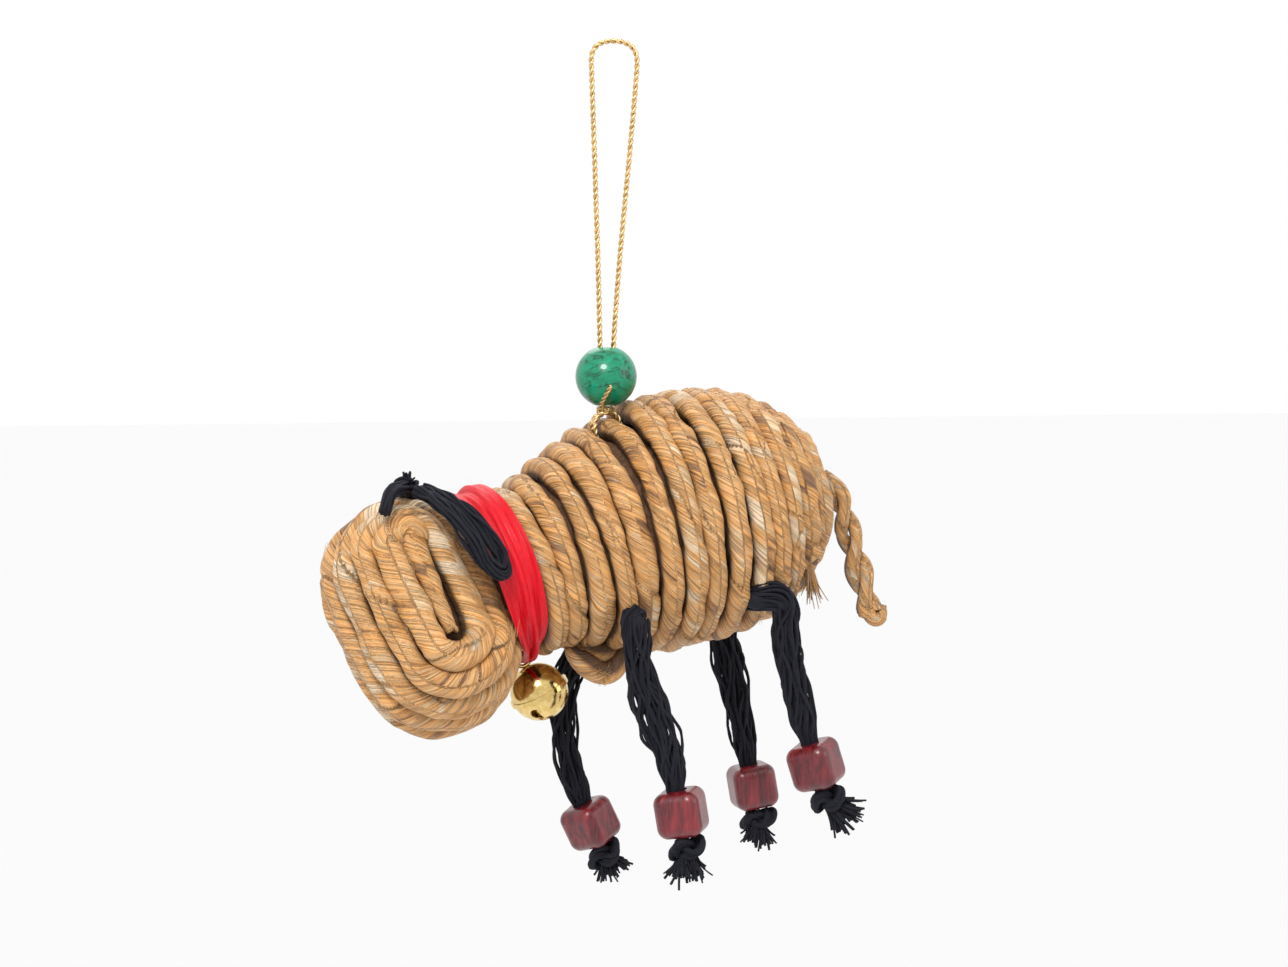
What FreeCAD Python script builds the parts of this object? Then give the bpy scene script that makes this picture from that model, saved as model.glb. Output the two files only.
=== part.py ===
"""A hanging straw-rope goat ornament: a body and a head wound from twisted leaf rope over dry-leaf
cores, hung by a gold cord with a green bead, with black yarn legs that end in dyed wooden cubes,
yarn ears, a red neck ribbon with a brass jingle bell, and a rope tail.

Millimetres. Origin at the top of the hanging loop, +Z up, the head towards -X, and the animal's
left side towards -Y.
"""

import FreeCAD
import Part
import Sketcher
import math
import os

DIMENSIONS = [
    # alias, value, what it is
    ("rope_radius", 2.05, "radius of the body's twisted leaf rope; neighbouring turns press together"),
    ("held_rope_radius", 1.7, "radius of the turn that the cord squeezes"),
    ("head_rope_radius", 2.15, "radius of the head's rope"),
    ("rope_pitch", 3.9, "from one turn of the rope to the next"),
    ("body_tilt", 12.5, "degrees that the spine rises, from the middle to the rump"),
    ("spine_bend", 143.0, "radius of the spine's bend, from the middle down to the neck"),
    ("core_tilt", 13.0, "degrees that the core's axis rises towards the rump"),
    ("barrel_radius", 20.0, "body, rope centreline at the widest turn"),
    ("neck_turn_radius", 12.4, "body, rope centreline where the neck is thinnest"),
    ("neck_run", 32.0, "body, from the widest turn to where the neck is thinnest"),
    ("barrel_rear", 27.0, "body, from the widest turn to the rope centreline at the rump's pole"),
    ("rump_fullness", 2.5, "body, power of the rump's outline: 2 is an ellipse"),
    ("widest_at", 3.5, "body, the widest turn's place along the axis"),
    ("neck_turn_at", -25.0, "body, no turn stands further forward along the axis"),
    ("coil_from_radius", 8.5, "turns smaller than this belong to the rump's coil"),
    ("core_front", 30.5, "body core, front half length"),
    ("core_rear", 24.0, "body core, rear half length"),
    ("core_radius", 17.2, "body core, radius at its middle"),
    ("head_tilt", 20.0, "degrees that the head's long axis leans back"),
    ("head_roll", 28.0, "degrees that the left cheek is turned up"),
    ("head_half_run", 6.6, "half of the straight stretch of each turn of the head"),
    ("head_turn_radius", 11.4, "round end of the head's largest turn, rope centreline"),
    ("head_half_width", 13.3, "head, rope centreline of the outermost turns across"),
    ("head_core_long", 15.2, "head core, half length"),
    ("head_core_short", 9.0, "head core, half depth"),
    ("head_core_wide", 10.9, "head core, half width"),
    ("neck_radius", 8.0, "neck wad between the two cores"),
    ("cord_radius", 0.5, "gold cord"),
    ("hitch_gap", 1.3, "extra room beside the turn that the cord is hitched round"),
    ("hitch_sink", 0.8, "how far the cord pulls that turn into the body"),
    ("hitch_play", 0.3, "room between that turn and the hitch"),
    ("knot_radius", 1.9, "knot under the green bead"),
    ("knot_half_height", 0.6, "knot under the green bead"),
    ("round_bead_radius", 5.2, "green bead"),
    ("round_bead_half_height", 4.9, "green bead, centre to its flat ends"),
    ("bead_bore_radius", 1.6, "bore of every bead"),
    ("cube_side", 7.8, "red cube bead"),
    ("cube_rounding", 1.9, "rounded edges of the cube bead"),
    ("yarn_radius", 1.55, "black yarn of a leg, where it fills the bead"),
    ("yarn_play", 0.02, "room round the yarn where it passes through the body"),
    ("ear_radius", 1.4, "doubled yarn of an ear"),
    ("yarn_end_radius", 1.1, "loose end of the crown yarn"),
    ("crown_knot_radius", 2.2, "yarn knot on the crown"),
    ("crown_knot_height", 1.8, "yarn knot on the crown, half height"),
    ("foot_knot_radius", 2.6, "knot below a cube bead"),
    ("foot_knot_length", 3.2, "knot below a cube bead"),
    ("tuft_waist_radius", 1.5, "yarn between the knot and the tuft"),
    ("tuft_radius", 2.5, "frayed tuft's lower end"),
    ("tuft_length", 3.3, "frayed tuft"),
    ("ribbon_radius", 14.75, "neck ribbon, inside"),
    ("ribbon_thickness", 0.5, "neck ribbon, gathered thickness"),
    ("ribbon_width", 4.4, "neck ribbon, gathered width"),
    ("gather_radius", 0.8, "ribbon where it is gathered through the bell's eye"),
    ("gather_half_length", 3.2, "gathered stretch, half length"),
    ("bell_radius", 4.9, "jingle bell"),
    ("bell_wall", 0.4, "jingle bell's sheet"),
    ("bell_seam", 0.3, "how far the seam stands out"),
    ("bell_slot", 1.0, "width of the slots between the claws"),
    ("bell_slot_top", 1.3, "from the seam down to the slots' round ends"),
    ("shank_radius", 1.4, "bell's wire eye"),
    ("shank_wire_radius", 0.35, "bell's wire eye"),
    ("pea_radius", 1.4, "loose ball inside the bell"),
    ("tail_radius", 2.0, "twisted tail"),
    ("tail_tip_radius", 2.4, "folded tip of the tail"),
    ("fray_radius", 1.5, "frayed end of the body's rope"),
]

# Where things stand at rest.
BODY_CENTRE = FreeCAD.Vector(8.0, 0, -82.6)
HEAD_CENTRE = FreeCAD.Vector(-33.1, 0, -97.0)
RIBBON_CENTRE = FreeCAD.Vector(-20.6, 0, -90.3)
RIBBON_TILT = 21.0
ROUND_BEAD_CENTRE = FreeCAD.Vector(0, 0, -57.1)
KNOT_TOP = -62.05
BELL_TILT = 28.0
CROWN = FreeCAD.Vector(-35.4, 0, -75.0)

# The loop of gold cord, from the knot over its top and back to the knot: x, y, z.
LOOP_ROUTE = [
    (-1.0, 0, -61.8),
    (-1.0, 0, -51.0),
    (-2.9, 0, -0.5),
    (5.9, 0, -0.5),
    (1.0, 0, -51.0),
    (1.0, 0, -61.8),
]

# Each leg: its side, where the yarn comes out of the body, the hip that it turns at, the two bends
# of its route, and the middle of its cube bead, as x and z in the leg's own plane.
LEGS = {
    "front_left": {
        "y": -16.8,
        "hip": (-1.5, -97.5),
        "bends": [(-0.5, -108.0), (5.2, -120.3)],
        "bead": (6.8, -129.4),
        "bead_turn": 38.0,
    },
    "front_right": {
        "y": 16.8,
        "hip": (6.2, -101.0),
        "bends": [(-1.8, -108.8), (-1.4, -125.2)],
        "bead": (3.6, -135.3),
        "bead_turn": 60.0,
    },
    "rear_left": {
        "y": -16.6,
        "hip": (26.0, -95.2),
        "out_at": (20.3, -94.4),
        "bends": [(25.8, -102.2), (28.9, -114.5)],
        "bead": (31.5, -122.5),
        "bead_turn": 50.0,
    },
    "rear_right": {
        "y": 16.6,
        "hip": (27.1, -95.2),
        "bends": [(29.0, -105.2), (32.6, -120.2)],
        "bead": (34.4, -130.2),
        "bead_turn": 8.0,
    },
}

# The left ear's route from the crown; the right ear mirrors it. x, y, z.
EAR_ROUTE = [
    (-34.2, -3.4, -75.6),
    (-32.0, -10.6, -77.0),
    (-28.6, -16.2, -82.2),
    (-25.4, -18.2, -88.4),
]
CROWN_END_ROUTE = [
    (-37.2, -2.4, -75.0),
    (-41.0, -7.2, -75.6),
    (-44.6, -11.6, -79.2),
]
TAIL_ROUTE = [
    (43.6, 0, -77.6),
    (46.0, 0, -87.4),
    (49.6, 0, -98.6),
]
BELLY_END = [FreeCAD.Vector(-5.4, -3.0, -105.4), FreeCAD.Vector(0.8, -3.0, -105.4)]
FRAY_TOP = FreeCAD.Vector(34.9, -11.5, -91.6)
FRAY_TIP = FreeCAD.Vector(35.4, -11.9, -97.1)

ACROSS = FreeCAD.Vector(0, 1, 0)
UP = FreeCAD.Vector(0, 0, 1)
HIP_GAP = 0.45
BEAD_GAP = 0.12

doc = FreeCAD.newDocument("straw_goat_ornament")
sheet = doc.addObject("Spreadsheet::Sheet", "Dimensions")
for number, (alias, value, meaning) in enumerate(DIMENSIONS, start=1):
    sheet.set(f"A{number}", meaning)
    sheet.set(f"B{number}", str(value))
    sheet.setAlias(f"B{number}", alias)
doc.recompute()

nodes = []


def size(alias):
    """A dimension from the sheet."""
    return float(sheet.get(alias))


def bind(obj, **formulas):
    """Binds an object's properties to formulas in which dim.NAME is a cell of the sheet."""
    for prop, formula in formulas.items():
        obj.setExpression(prop, formula.replace("dim.", "Dimensions."))
    return obj


def node(obj, label):
    """Marks an object as the sub-part of that name."""
    obj.Label = label
    nodes.append(obj)
    return obj


def standing(point, direction=UP):
    """A placement at a point, with its own Z along a direction."""
    return FreeCAD.Placement(point, FreeCAD.Rotation(UP, direction))


def primitive(kind, name, placement, **formulas):
    """One Part primitive with its sizes bound to the sheet."""
    obj = doc.addObject(f"Part::{kind}", name)
    obj.Placement = placement
    return bind(obj, **formulas)


def fused(name, pieces):
    obj = doc.addObject("Part::MultiFuse", name)
    obj.Shapes = pieces
    return obj


def cut(name, base, tool):
    obj = doc.addObject("Part::Cut", name)
    obj.Base = base
    obj.Tool = tool
    return obj


def capsule(name, start, end, radius):
    """A round-ended rod between two points."""
    rod = primitive(
        "Cylinder", name + "_rod", standing(start, end - start), Radius=radius
    )
    rod.Height = (end - start).Length
    ends = [
        primitive("Sphere", f"{name}_end_{i}", standing(point, end - start), Radius=radius)
        for i, point in enumerate((start, end))
    ]
    return fused(name, [rod, *ends])


def route_wire(points):
    """Straight runs joined by tangent arcs, each as large as its two runs allow."""
    points = [FreeCAD.Vector(*p) for p in points]
    edges, radii, here = [], [], points[0]
    for before, corner, after in zip(points, points[1:], points[2:]):
        back, on = (before - corner), (after - corner)
        reach = 0.45 * min(back.Length, on.Length)
        back.normalize()
        on.normalize()
        half_turn = (math.pi - back.getAngle(on)) / 2
        first, last = corner + back * reach, corner + on * reach
        radius = reach / math.tan(half_turn)
        inward = back + on
        inward.normalize()
        middle = corner + inward * (radius / math.cos(half_turn) - radius)
        edges.append(Part.LineSegment(here, first).toShape())
        edges.append(Part.Arc(first, middle, last).toShape())
        radii.append(radius)
        here = last
    edges.append(Part.LineSegment(here, points[-1]).toShape())
    return Part.Wire(edges), radii


def cord_tube(name, points, radius_alias):
    """A cord's plain tube along its route. Its radius and route are read here, not bound."""
    radius = size(radius_alias)
    wire, radii = route_wire(points)
    start = wire.OrderedVertexes[0].Point
    along = FreeCAD.Vector(*points[1]) - FreeCAD.Vector(*points[0])
    circle = Part.Wire(Part.makeCircle(radius, start, along))
    tube = doc.addObject("Part::Feature", name)
    tube.Shape = wire.makePipeShell([circle], True, True)
    expected = math.pi * radius**2 * wire.Length
    share = tube.Shape.Volume / expected
    said = ", ".join(f"{r:.1f}" for r in radii)
    print(f"{name}: {wire.Length:.1f} mm long, bend radii {said} mm, volume {share:.4f} of expected")
    if abs(share - 1) > 0.01:
        raise RuntimeError(f"{name}: the tube's volume is wrong")
    return tube


# ---------------------------------------------------------------- the body's winding


def spine(s):
    """The body's axis at a place along it: the point, the way along, and the way out of the back."""
    rise, bend = math.radians(size("body_tilt")), size("spine_bend")
    slope = rise + max(0.0, -s) / bend
    along = FreeCAD.Vector(math.cos(slope), 0, math.sin(slope))
    out = FreeCAD.Vector(-math.sin(slope), 0, math.cos(slope))
    if s >= 0:
        return BODY_CENTRE + along * s, along, out
    drop = math.cos(slope) - math.cos(rise)
    back = math.sin(rise) - math.sin(slope)
    return BODY_CENTRE + FreeCAD.Vector(back, 0, drop) * bend, along, out


def winding_radius(s):
    """Radius of the rope's centreline at a place along the body's axis."""
    d = s - size("widest_at")
    widest, neck = size("barrel_radius"), size("neck_turn_radius")
    if d < 0:
        return neck + (widest - neck) * (1 + math.cos(math.pi * d / size("neck_run"))) / 2
    return widest * math.sqrt(max(0.0, 1 - (d / size("barrel_rear")) ** size("rump_fullness")))


def next_turn(s, spacing, way):
    """The place along the axis that is this far on, measured along the winding's profile."""
    step, gone = 0.02, 0.0
    pole = size("widest_at") + size("barrel_rear")
    while gone < spacing:
        if s + way * step >= pole:
            return None
        gone += math.hypot(step, winding_radius(s + way * step) - winding_radius(s))
        s += way * step
    return s


def hitch_turn():
    """The place of the turn that the cord holds, whose top stands below the loop."""
    low, high = -12.0, 4.0
    for _ in range(40):
        s = (low + high) / 2
        middle, _, out = spine(s)
        top = middle + out * (winding_radius(s) - size("hitch_sink"))
        low, high = (s, high) if top.x < 0 else (low, s)
    return s


HITCH_AT = hitch_turn()
HITCH_RADIUS = winding_radius(HITCH_AT) - size("hitch_sink")
PIVOT = spine(HITCH_AT)[0] + spine(HITCH_AT)[2] * HITCH_RADIUS
print(f"the hitch's axis crosses {PIVOT.x:.3f}, {PIVOT.z:.3f}")


def turn_places():
    """Every turn of the rope on the body, from the neck to the rump's pole."""
    forward, back = [], []
    for way, found in ((-1, forward), (1, back)):
        s = next_turn(HITCH_AT, size("rope_pitch") + size("hitch_gap"), way)
        while s is not None and s > size("neck_turn_at"):
            found.append(s)
            s = next_turn(s, size("rope_pitch"), way)
    return forward[::-1], back


turns_before, turns_behind = turn_places()


def body_turn(name, s, radius, rope="dim.rope_radius"):
    """One turn of rope round the spine."""
    middle, along, _ = spine(s)
    turn = primitive("Torus", name, standing(middle, along), Radius2=rope)
    turn.Radius1 = radius
    return turn


held_turn = body_turn("held_turn", HITCH_AT, HITCH_RADIUS, "dim.held_rope_radius")
winding, coil = [held_turn], []
for number, s in enumerate([*turns_before, *turns_behind], start=1):
    radius = winding_radius(s)
    in_coil = s > 0 and radius < size("coil_from_radius")
    if in_coil and radius < size("rope_radius") * 1.15:
        continue
    turn = body_turn(f"turn_{number:02d}", s, radius)
    (coil if in_coil else winding).append(turn)
print(f"{len(winding)} turns on the body and {len(coil)} in the rump's coil")

pole = spine(size("widest_at") + size("barrel_rear") + 0.1)[0]
coil.append(primitive("Sphere", "coil_eye", standing(pole), Radius="dim.rope_radius * 0.8"))
node(fused("rump_coil_shape", coil), "rump_coil")

# ---------------------------------------------------------------- yarn through the hips


def in_leg_plane(leg, spot):
    return FreeCAD.Vector(spot[0], leg["y"], spot[1])


def cross_yarn(name, left, right, radius):
    """The yarn that passes through the body from hip to hip, with what shows of it on the left."""
    comes_out = in_leg_plane(left, left.get("out_at", left["hip"]))
    through = capsule(name + "_through", comes_out, in_leg_plane(right, right["hip"]), radius)
    if "out_at" not in left:
        return through
    hip = in_leg_plane(left, left["hip"])
    return fused(name, [through, capsule(name + "_stub", comes_out, hip, radius)])


ways = []
for place in ("front", "rear"):
    pair = LEGS[f"{place}_left"], LEGS[f"{place}_right"]
    node(cross_yarn(f"{place}_yarn", *pair, "dim.yarn_radius"), f"{place}_cross_yarn")
    ways.append(cross_yarn(f"{place}_way", *pair, "dim.yarn_radius + dim.yarn_play"))
yarn_ways = fused("yarn_ways", ways)
turns_with_ways = cut("body_winding_cut", fused("body_turns", winding), yarn_ways)
turns_with_ways.Refine = turns_with_ways.Base.Refine = False
node(turns_with_ways, "body_winding")

# ---------------------------------------------------------------- the body's core

core_rise = math.radians(size("core_tilt"))
ALONG_CORE = FreeCAD.Vector(math.cos(core_rise), 0, math.sin(core_rise))
core_middle = spine(size("widest_at"))[0]
half_fore = primitive(
    "Ellipsoid",
    "core_fore_half",
    standing(core_middle, ALONG_CORE * -1),
    Radius1="dim.core_front",
    Radius2="dim.core_radius",
    Radius3="dim.core_radius",
)
half_fore.Angle1 = 0
half_rear = primitive(
    "Ellipsoid",
    "core_rear_half",
    standing(core_middle, ALONG_CORE),
    Radius1="dim.core_rear",
    Radius2="dim.core_radius",
    Radius3="dim.core_radius",
)
half_rear.Angle1 = 0

neck_start = spine(size("neck_turn_at") - 1.0)[0]
to_head = HEAD_CENTRE - neck_start
front_trim = doc.addObject("Part::Box", "core_front_trim")
front_trim.Length = front_trim.Width = front_trim.Height = 60
front_trim.Placement = FreeCAD.Placement(
    neck_start, FreeCAD.Rotation(UP, to_head)
).multiply(FreeCAD.Placement(FreeCAD.Vector(-30, -30, 0), FreeCAD.Rotation()))

hitch_pocket = primitive(
    "Cylinder",
    "hitch_pocket",
    standing(PIVOT + ACROSS * -1.9, ACROSS),
    Radius="dim.held_rope_radius + dim.hitch_play + 2 * dim.cord_radius + 0.25",
)
hitch_pocket.Height = 3.8
core_tools = fused("core_tools", [front_trim, hitch_pocket, yarn_ways])
node(cut("body_core_cut", fused("core_halves", [half_fore, half_rear]), core_tools), "body_core")

# ---------------------------------------------------------------- the head

HEAD = FreeCAD.Placement(
    HEAD_CENTRE,
    FreeCAD.Rotation(ACROSS, -size("head_tilt"))
    * FreeCAD.Rotation(FreeCAD.Vector(1, 0, 0), -size("head_roll")),
)
FLAT = FreeCAD.Rotation(FreeCAD.Vector(1, 0, 0), 90)
TURNED = FreeCAD.Rotation(ACROSS, 180)


def in_head(x, y, z, rotation=None):
    """A placement in the head's own frame: z along its long axis, y across."""
    return HEAD.multiply(FreeCAD.Placement(FreeCAD.Vector(x, y, z), rotation or FreeCAD.Rotation()))


def head_turn(name, y, radius):
    """One racetrack turn of rope: two half rings joined by straight runs."""
    half = size("head_half_run")
    pieces = []
    for end, z, rotation in (("top", half, FLAT), ("bottom", -half, TURNED * FLAT)):
        ring = primitive(
            "Torus", f"{name}_{end}", in_head(0, y, z, rotation), Radius2="dim.head_rope_radius"
        )
        ring.Radius1 = radius
        ring.Angle3 = 180
        pieces.append(ring)
    for side, x in (("fore", -radius), ("rear", radius)):
        pieces.append(
            primitive(
                "Cylinder",
                f"{name}_{side}",
                in_head(x, y, -half),
                Radius="dim.head_rope_radius",
                Height="2 * dim.head_half_run",
            )
        )
    return fused(name, pieces)


def head_places(steps):
    """Places of the head's turns, evenly spaced round a quarter of its oval section: y, radius."""
    wide, deep = size("head_half_width"), size("head_turn_radius")
    parts = 2000
    outline = [
        (wide * math.sin(i * math.pi / 2 / parts), deep * math.cos(i * math.pi / 2 / parts))
        for i in range(parts + 1)
    ]
    lengths = [0.0]
    for a, b in zip(outline, outline[1:]):
        lengths.append(lengths[-1] + math.dist(a, b))
    wanted = [lengths[-1] * k / steps for k in range(steps)]
    return [outline[min(range(parts + 1), key=lambda i: abs(lengths[i] - w))] for w in wanted]


HEAD_STEPS = 5
LOOPS_ON_SIDE = 2
middle_turns, side_turns = [], {"left": [], "right": []}
for number, (y, radius) in enumerate(head_places(HEAD_STEPS)):
    on_side = number >= HEAD_STEPS - LOOPS_ON_SIDE
    for side, way in (("left", -1), ("right", 1)):
        if number == 0 and side == "right":
            continue
        turn = head_turn(f"head_turn_{number}_{side}", way * y, radius)
        (side_turns[side] if on_side else middle_turns).append(turn)

neck_end = HEAD_CENTRE + to_head * (-0.55 * size("head_core_short") / to_head.Length)
neck_rod = primitive(
    "Cylinder", "neck_rod", standing(neck_start, neck_end - neck_start), Radius="dim.neck_radius"
)
neck_rod.Height = (neck_end - neck_start).Length
head_ball = primitive(
    "Ellipsoid",
    "head_ball",
    in_head(0, 0, 0),
    Radius1="dim.head_core_long",
    Radius2="dim.head_core_short",
    Radius3="dim.head_core_wide",
)
node(cut("head_winding_cut", fused("head_turns", middle_turns), neck_rod), "head_winding")
node(cut("neck_core_cut", neck_rod, head_ball), "neck_core")
node(head_ball, "head_core")

for side, way in (("left", -1), ("right", 1)):
    y = way * (size("head_half_width") + 0.1)
    half = size("head_half_run")
    ends = [HEAD.multVec(FreeCAD.Vector(0, y, z)) for z in (-half, half)]
    middle_run = capsule(f"head_eye_{side}", *ends, "dim.head_rope_radius")
    node(fused(f"head_coil_{side}_shape", [*side_turns[side], middle_run]), f"head_coil_{side}")

# ---------------------------------------------------------------- rope ends, tail

node(capsule("belly_end", *BELLY_END, "dim.rope_radius"), "belly_rope_end")
fray = primitive(
    "Cone",
    "fray_cone",
    standing(FRAY_TOP, FRAY_TIP - FRAY_TOP),
    Radius1="dim.fray_radius",
    Radius2="dim.fray_radius * 0.5",
)
fray.Height = (FRAY_TIP - FRAY_TOP).Length
node(fray, "rump_rope_end")

tail_tube = cord_tube("tail_tube", TAIL_ROUTE, "tail_radius")
tail_caps = [
    primitive("Sphere", "tail_root", standing(FreeCAD.Vector(*TAIL_ROUTE[0])), Radius="dim.tail_radius"),
    primitive("Sphere", "tail_tip", standing(FreeCAD.Vector(*TAIL_ROUTE[-1])), Radius="dim.tail_tip_radius"),
]
node(fused("tail_shape", [tail_tube, *tail_caps]), "tail")

# ---------------------------------------------------------------- hanging cord, hitch, round bead

node(cord_tube("loop_tube", LOOP_ROUTE, "cord_radius"), "hanging_cord")

hitch_pieces = [
    primitive(
        "Torus",
        f"hitch_wrap_{i}",
        standing(PIVOT + ACROSS * y, ACROSS),
        Radius1="dim.held_rope_radius + dim.hitch_play + dim.cord_radius",
        Radius2="dim.cord_radius",
    )
    for i, y in enumerate((-0.48, 0.48))
]
hitch_pieces.append(
    primitive(
        "Ellipsoid",
        "hitch_knot",
        standing(FreeCAD.Vector(0, 0, KNOT_TOP - size("knot_half_height"))),
        Radius1="dim.knot_half_height",
        Radius2="dim.knot_radius",
        Radius3="dim.knot_radius",
    )
)
node(fused("hitch_shape", hitch_pieces), "cord_hitch")

round_bead = primitive(
    "Sphere", "round_bead", standing(ROUND_BEAD_CENTRE), Radius="dim.round_bead_radius"
)
bind(
    round_bead,
    Angle1="-asin(dim.round_bead_half_height / dim.round_bead_radius)",
    Angle2="asin(dim.round_bead_half_height / dim.round_bead_radius)",
)
round_bore = primitive(
    "Cylinder",
    "round_bore",
    standing(ROUND_BEAD_CENTRE + UP * -8),
    Radius="dim.bead_bore_radius",
)
round_bore.Height = 16
node(cut("round_bead_cut", round_bead, round_bore), "hanger_bead")

# ---------------------------------------------------------------- legs, each with a cube bead and a tuft


def own_plane(body, role):
    return next(f for f in body.Origin.OriginFeatures if f.Role == role)


def flat_sketch(body, name):
    sketch = body.newObject("Sketcher::SketchObject", name)
    sketch.AttachmentSupport = [(own_plane(body, "XY_Plane"), "")]
    sketch.MapMode = "FlatFace"
    return sketch


def square_sketch(body, name):
    """A square about the origin, its side bound to the sheet."""
    sketch = flat_sketch(body, name)
    half = size("cube_side") / 2
    corners = [(-half, -half), (half, -half), (half, half), (-half, half)]
    points = [FreeCAD.Vector(x, y, 0) for x, y in corners]
    for start, end in zip(points, points[1:] + points[:1]):
        sketch.addGeometry(Part.LineSegment(start, end))
    for i in range(4):
        sketch.addConstraint(Sketcher.Constraint("Coincident", i, 2, (i + 1) % 4, 1))
    for i in range(4):
        kind = "Horizontal" if i % 2 == 0 else "Vertical"
        sketch.addConstraint(Sketcher.Constraint(kind, i))
    sketch.addConstraint(Sketcher.Constraint("Symmetric", 0, 1, 2, 1, -1, 1))
    for i, name in ((0, "side_x"), (1, "side_y")):
        kind = "DistanceX" if i == 0 else "DistanceY"
        number = sketch.addConstraint(Sketcher.Constraint(kind, i, 1, i, 2, 2 * half))
        sketch.renameConstraint(number, name)
        bind(sketch, **{f"Constraints.{name}": "dim.cube_side"})
    return sketch


def bore_sketch(body, name):
    """A circle about the origin, its radius bound to the sheet."""
    sketch = flat_sketch(body, name)
    radius = size("bead_bore_radius")
    sketch.addGeometry(Part.Circle(FreeCAD.Vector(0, 0, 0), UP, radius))
    sketch.addConstraint(Sketcher.Constraint("Coincident", 0, 3, -1, 1))
    number = sketch.addConstraint(Sketcher.Constraint("Radius", 0, radius))
    sketch.renameConstraint(number, "bore")
    return bind(sketch, **{"Constraints.bore": "dim.bead_bore_radius"})


def cube_bead(name, placement):
    """A wooden cube with rounded edges, bored through: pad, fillet, pocket."""
    body = doc.addObject("PartDesign::Body", name)
    pad = body.newObject("PartDesign::Pad", name + "_block")
    pad.Profile = square_sketch(body, name + "_square")
    pad.Midplane = True
    bind(pad, Length="dim.cube_side")
    doc.recompute()
    rounding = body.newObject("PartDesign::Fillet", name + "_rounding")
    rounding.Base = (pad, ["Edge1"])
    rounding.UseAllEdges = True
    bind(rounding, Radius="dim.cube_rounding")
    doc.recompute()
    bore = body.newObject("PartDesign::Pocket", name + "_bore")
    bore.Profile = bore_sketch(body, name + "_circle")
    bore.Type = "ThroughAll"
    bore.Midplane = True
    body.Placement = placement
    doc.recompute()
    wanted = rounding.Shape.Volume - bore.Shape.Volume
    if wanted < math.pi * size("bead_bore_radius") ** 2 * size("cube_side") * 0.95:
        raise RuntimeError(f"{name}: the bore cuts too little")
    return body


def foot(name, start, along):
    """The knot below a cube bead and the frayed tuft that hangs from it, as one piece of yarn."""
    half_knot = "dim.foot_knot_length / 2"
    at_waist = start + along * size("foot_knot_length")
    middle = start + along * (size("foot_knot_length") / 2)
    return fused(
        name,
        [
            primitive("Cone", name + "_top", standing(start, along), Radius1="dim.yarn_radius",
                      Radius2="dim.foot_knot_radius", Height=half_knot),
            primitive("Cone", name + "_knot", standing(middle, along), Radius1="dim.foot_knot_radius",
                      Radius2="dim.tuft_waist_radius", Height=half_knot),
            primitive("Cone", name + "_tuft", standing(at_waist, along), Radius1="dim.tuft_waist_radius",
                      Radius2="dim.tuft_radius", Height="dim.tuft_length"),
        ],
    )


for name, leg in LEGS.items():
    hip, *bends = [in_leg_plane(leg, spot) for spot in (leg["hip"], *leg["bends"])]
    bead = in_leg_plane(leg, leg["bead"])
    along = bead - bends[-1]
    along.normalize()
    end = bead + along * (size("cube_side") / 2 + BEAD_GAP)
    leaving = bends[0] - hip
    leaving.normalize()
    top = hip + leaving * (size("yarn_radius") + HIP_GAP)
    tube = cord_tube(f"{name}_tube", [tuple(p) for p in (top, *bends, end)], "yarn_radius")
    node(tube, f"{name}_leg_yarn")
    turned = standing(bead, along).multiply(
        FreeCAD.Placement(FreeCAD.Vector(), FreeCAD.Rotation(UP, leg["bead_turn"]))
    )
    node(cube_bead(f"{name}_cube", turned), f"{name}_cube_bead")
    node(foot(f"{name}_foot_shape", end, along), f"{name}_foot_tuft")

# ---------------------------------------------------------------- crown knot and ears

knot = primitive(
    "Ellipsoid",
    "crown_ball",
    standing(CROWN),
    Radius1="dim.crown_knot_height",
    Radius2="dim.crown_knot_radius",
    Radius3="dim.crown_knot_radius",
)
node(knot, "crown_knot")
for side, way in (("left", 1), ("right", -1)):
    route = [(x, way * y, z) for x, y, z in EAR_ROUTE]
    tube = cord_tube(f"ear_{side}_tube", route, "ear_radius")
    tip = primitive("Sphere", f"ear_{side}_tip", standing(FreeCAD.Vector(*route[-1])),
                    Radius="dim.ear_radius")
    node(fused(f"ear_{side}_shape", [tube, tip]), f"{side}_ear")
node(cord_tube("crown_end_tube", CROWN_END_ROUTE, "yarn_end_radius"), "crown_yarn_end")

# ---------------------------------------------------------------- neck ribbon

ribbon_slope = math.radians(RIBBON_TILT)
ALONG_NECK = FreeCAD.Vector(math.cos(ribbon_slope), 0, math.sin(ribbon_slope))
DOWN_RIBBON = FreeCAD.Vector(math.sin(ribbon_slope), 0, -math.cos(ribbon_slope))
band_start = RIBBON_CENTRE - ALONG_NECK * (size("ribbon_width") / 2)
band = primitive(
    "Cylinder",
    "ribbon_outside",
    standing(band_start, ALONG_NECK),
    Radius="dim.ribbon_radius + dim.ribbon_thickness",
    Height="dim.ribbon_width",
)
hole = primitive(
    "Cylinder",
    "ribbon_inside",
    standing(band_start, ALONG_NECK),
    Radius="dim.ribbon_radius",
    Height="dim.ribbon_width",
)
EYE = RIBBON_CENTRE + DOWN_RIBBON * (size("ribbon_radius") + size("ribbon_thickness") / 2)
print(f"the bell's eye stands at {EYE.x:.3f}, {EYE.z:.3f}")
gap_start = EYE + ACROSS * (0.2 - size("gather_half_length"))
gap = primitive("Cylinder", "ribbon_gap", standing(gap_start, ACROSS), Radius="dim.ribbon_width")
gap.Height = 2 * size("gather_half_length") - 0.4
gathered = primitive(
    "Cylinder",
    "ribbon_gathered",
    standing(EYE + ACROSS * -size("gather_half_length"), ACROSS),
    Radius="dim.gather_radius",
    Height="2 * dim.gather_half_length",
)
ring = cut("ribbon_ring", cut("ribbon_band", band, hole), gap)
node(fused("ribbon_shape", [ring, gathered]), "neck_ribbon")

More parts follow.
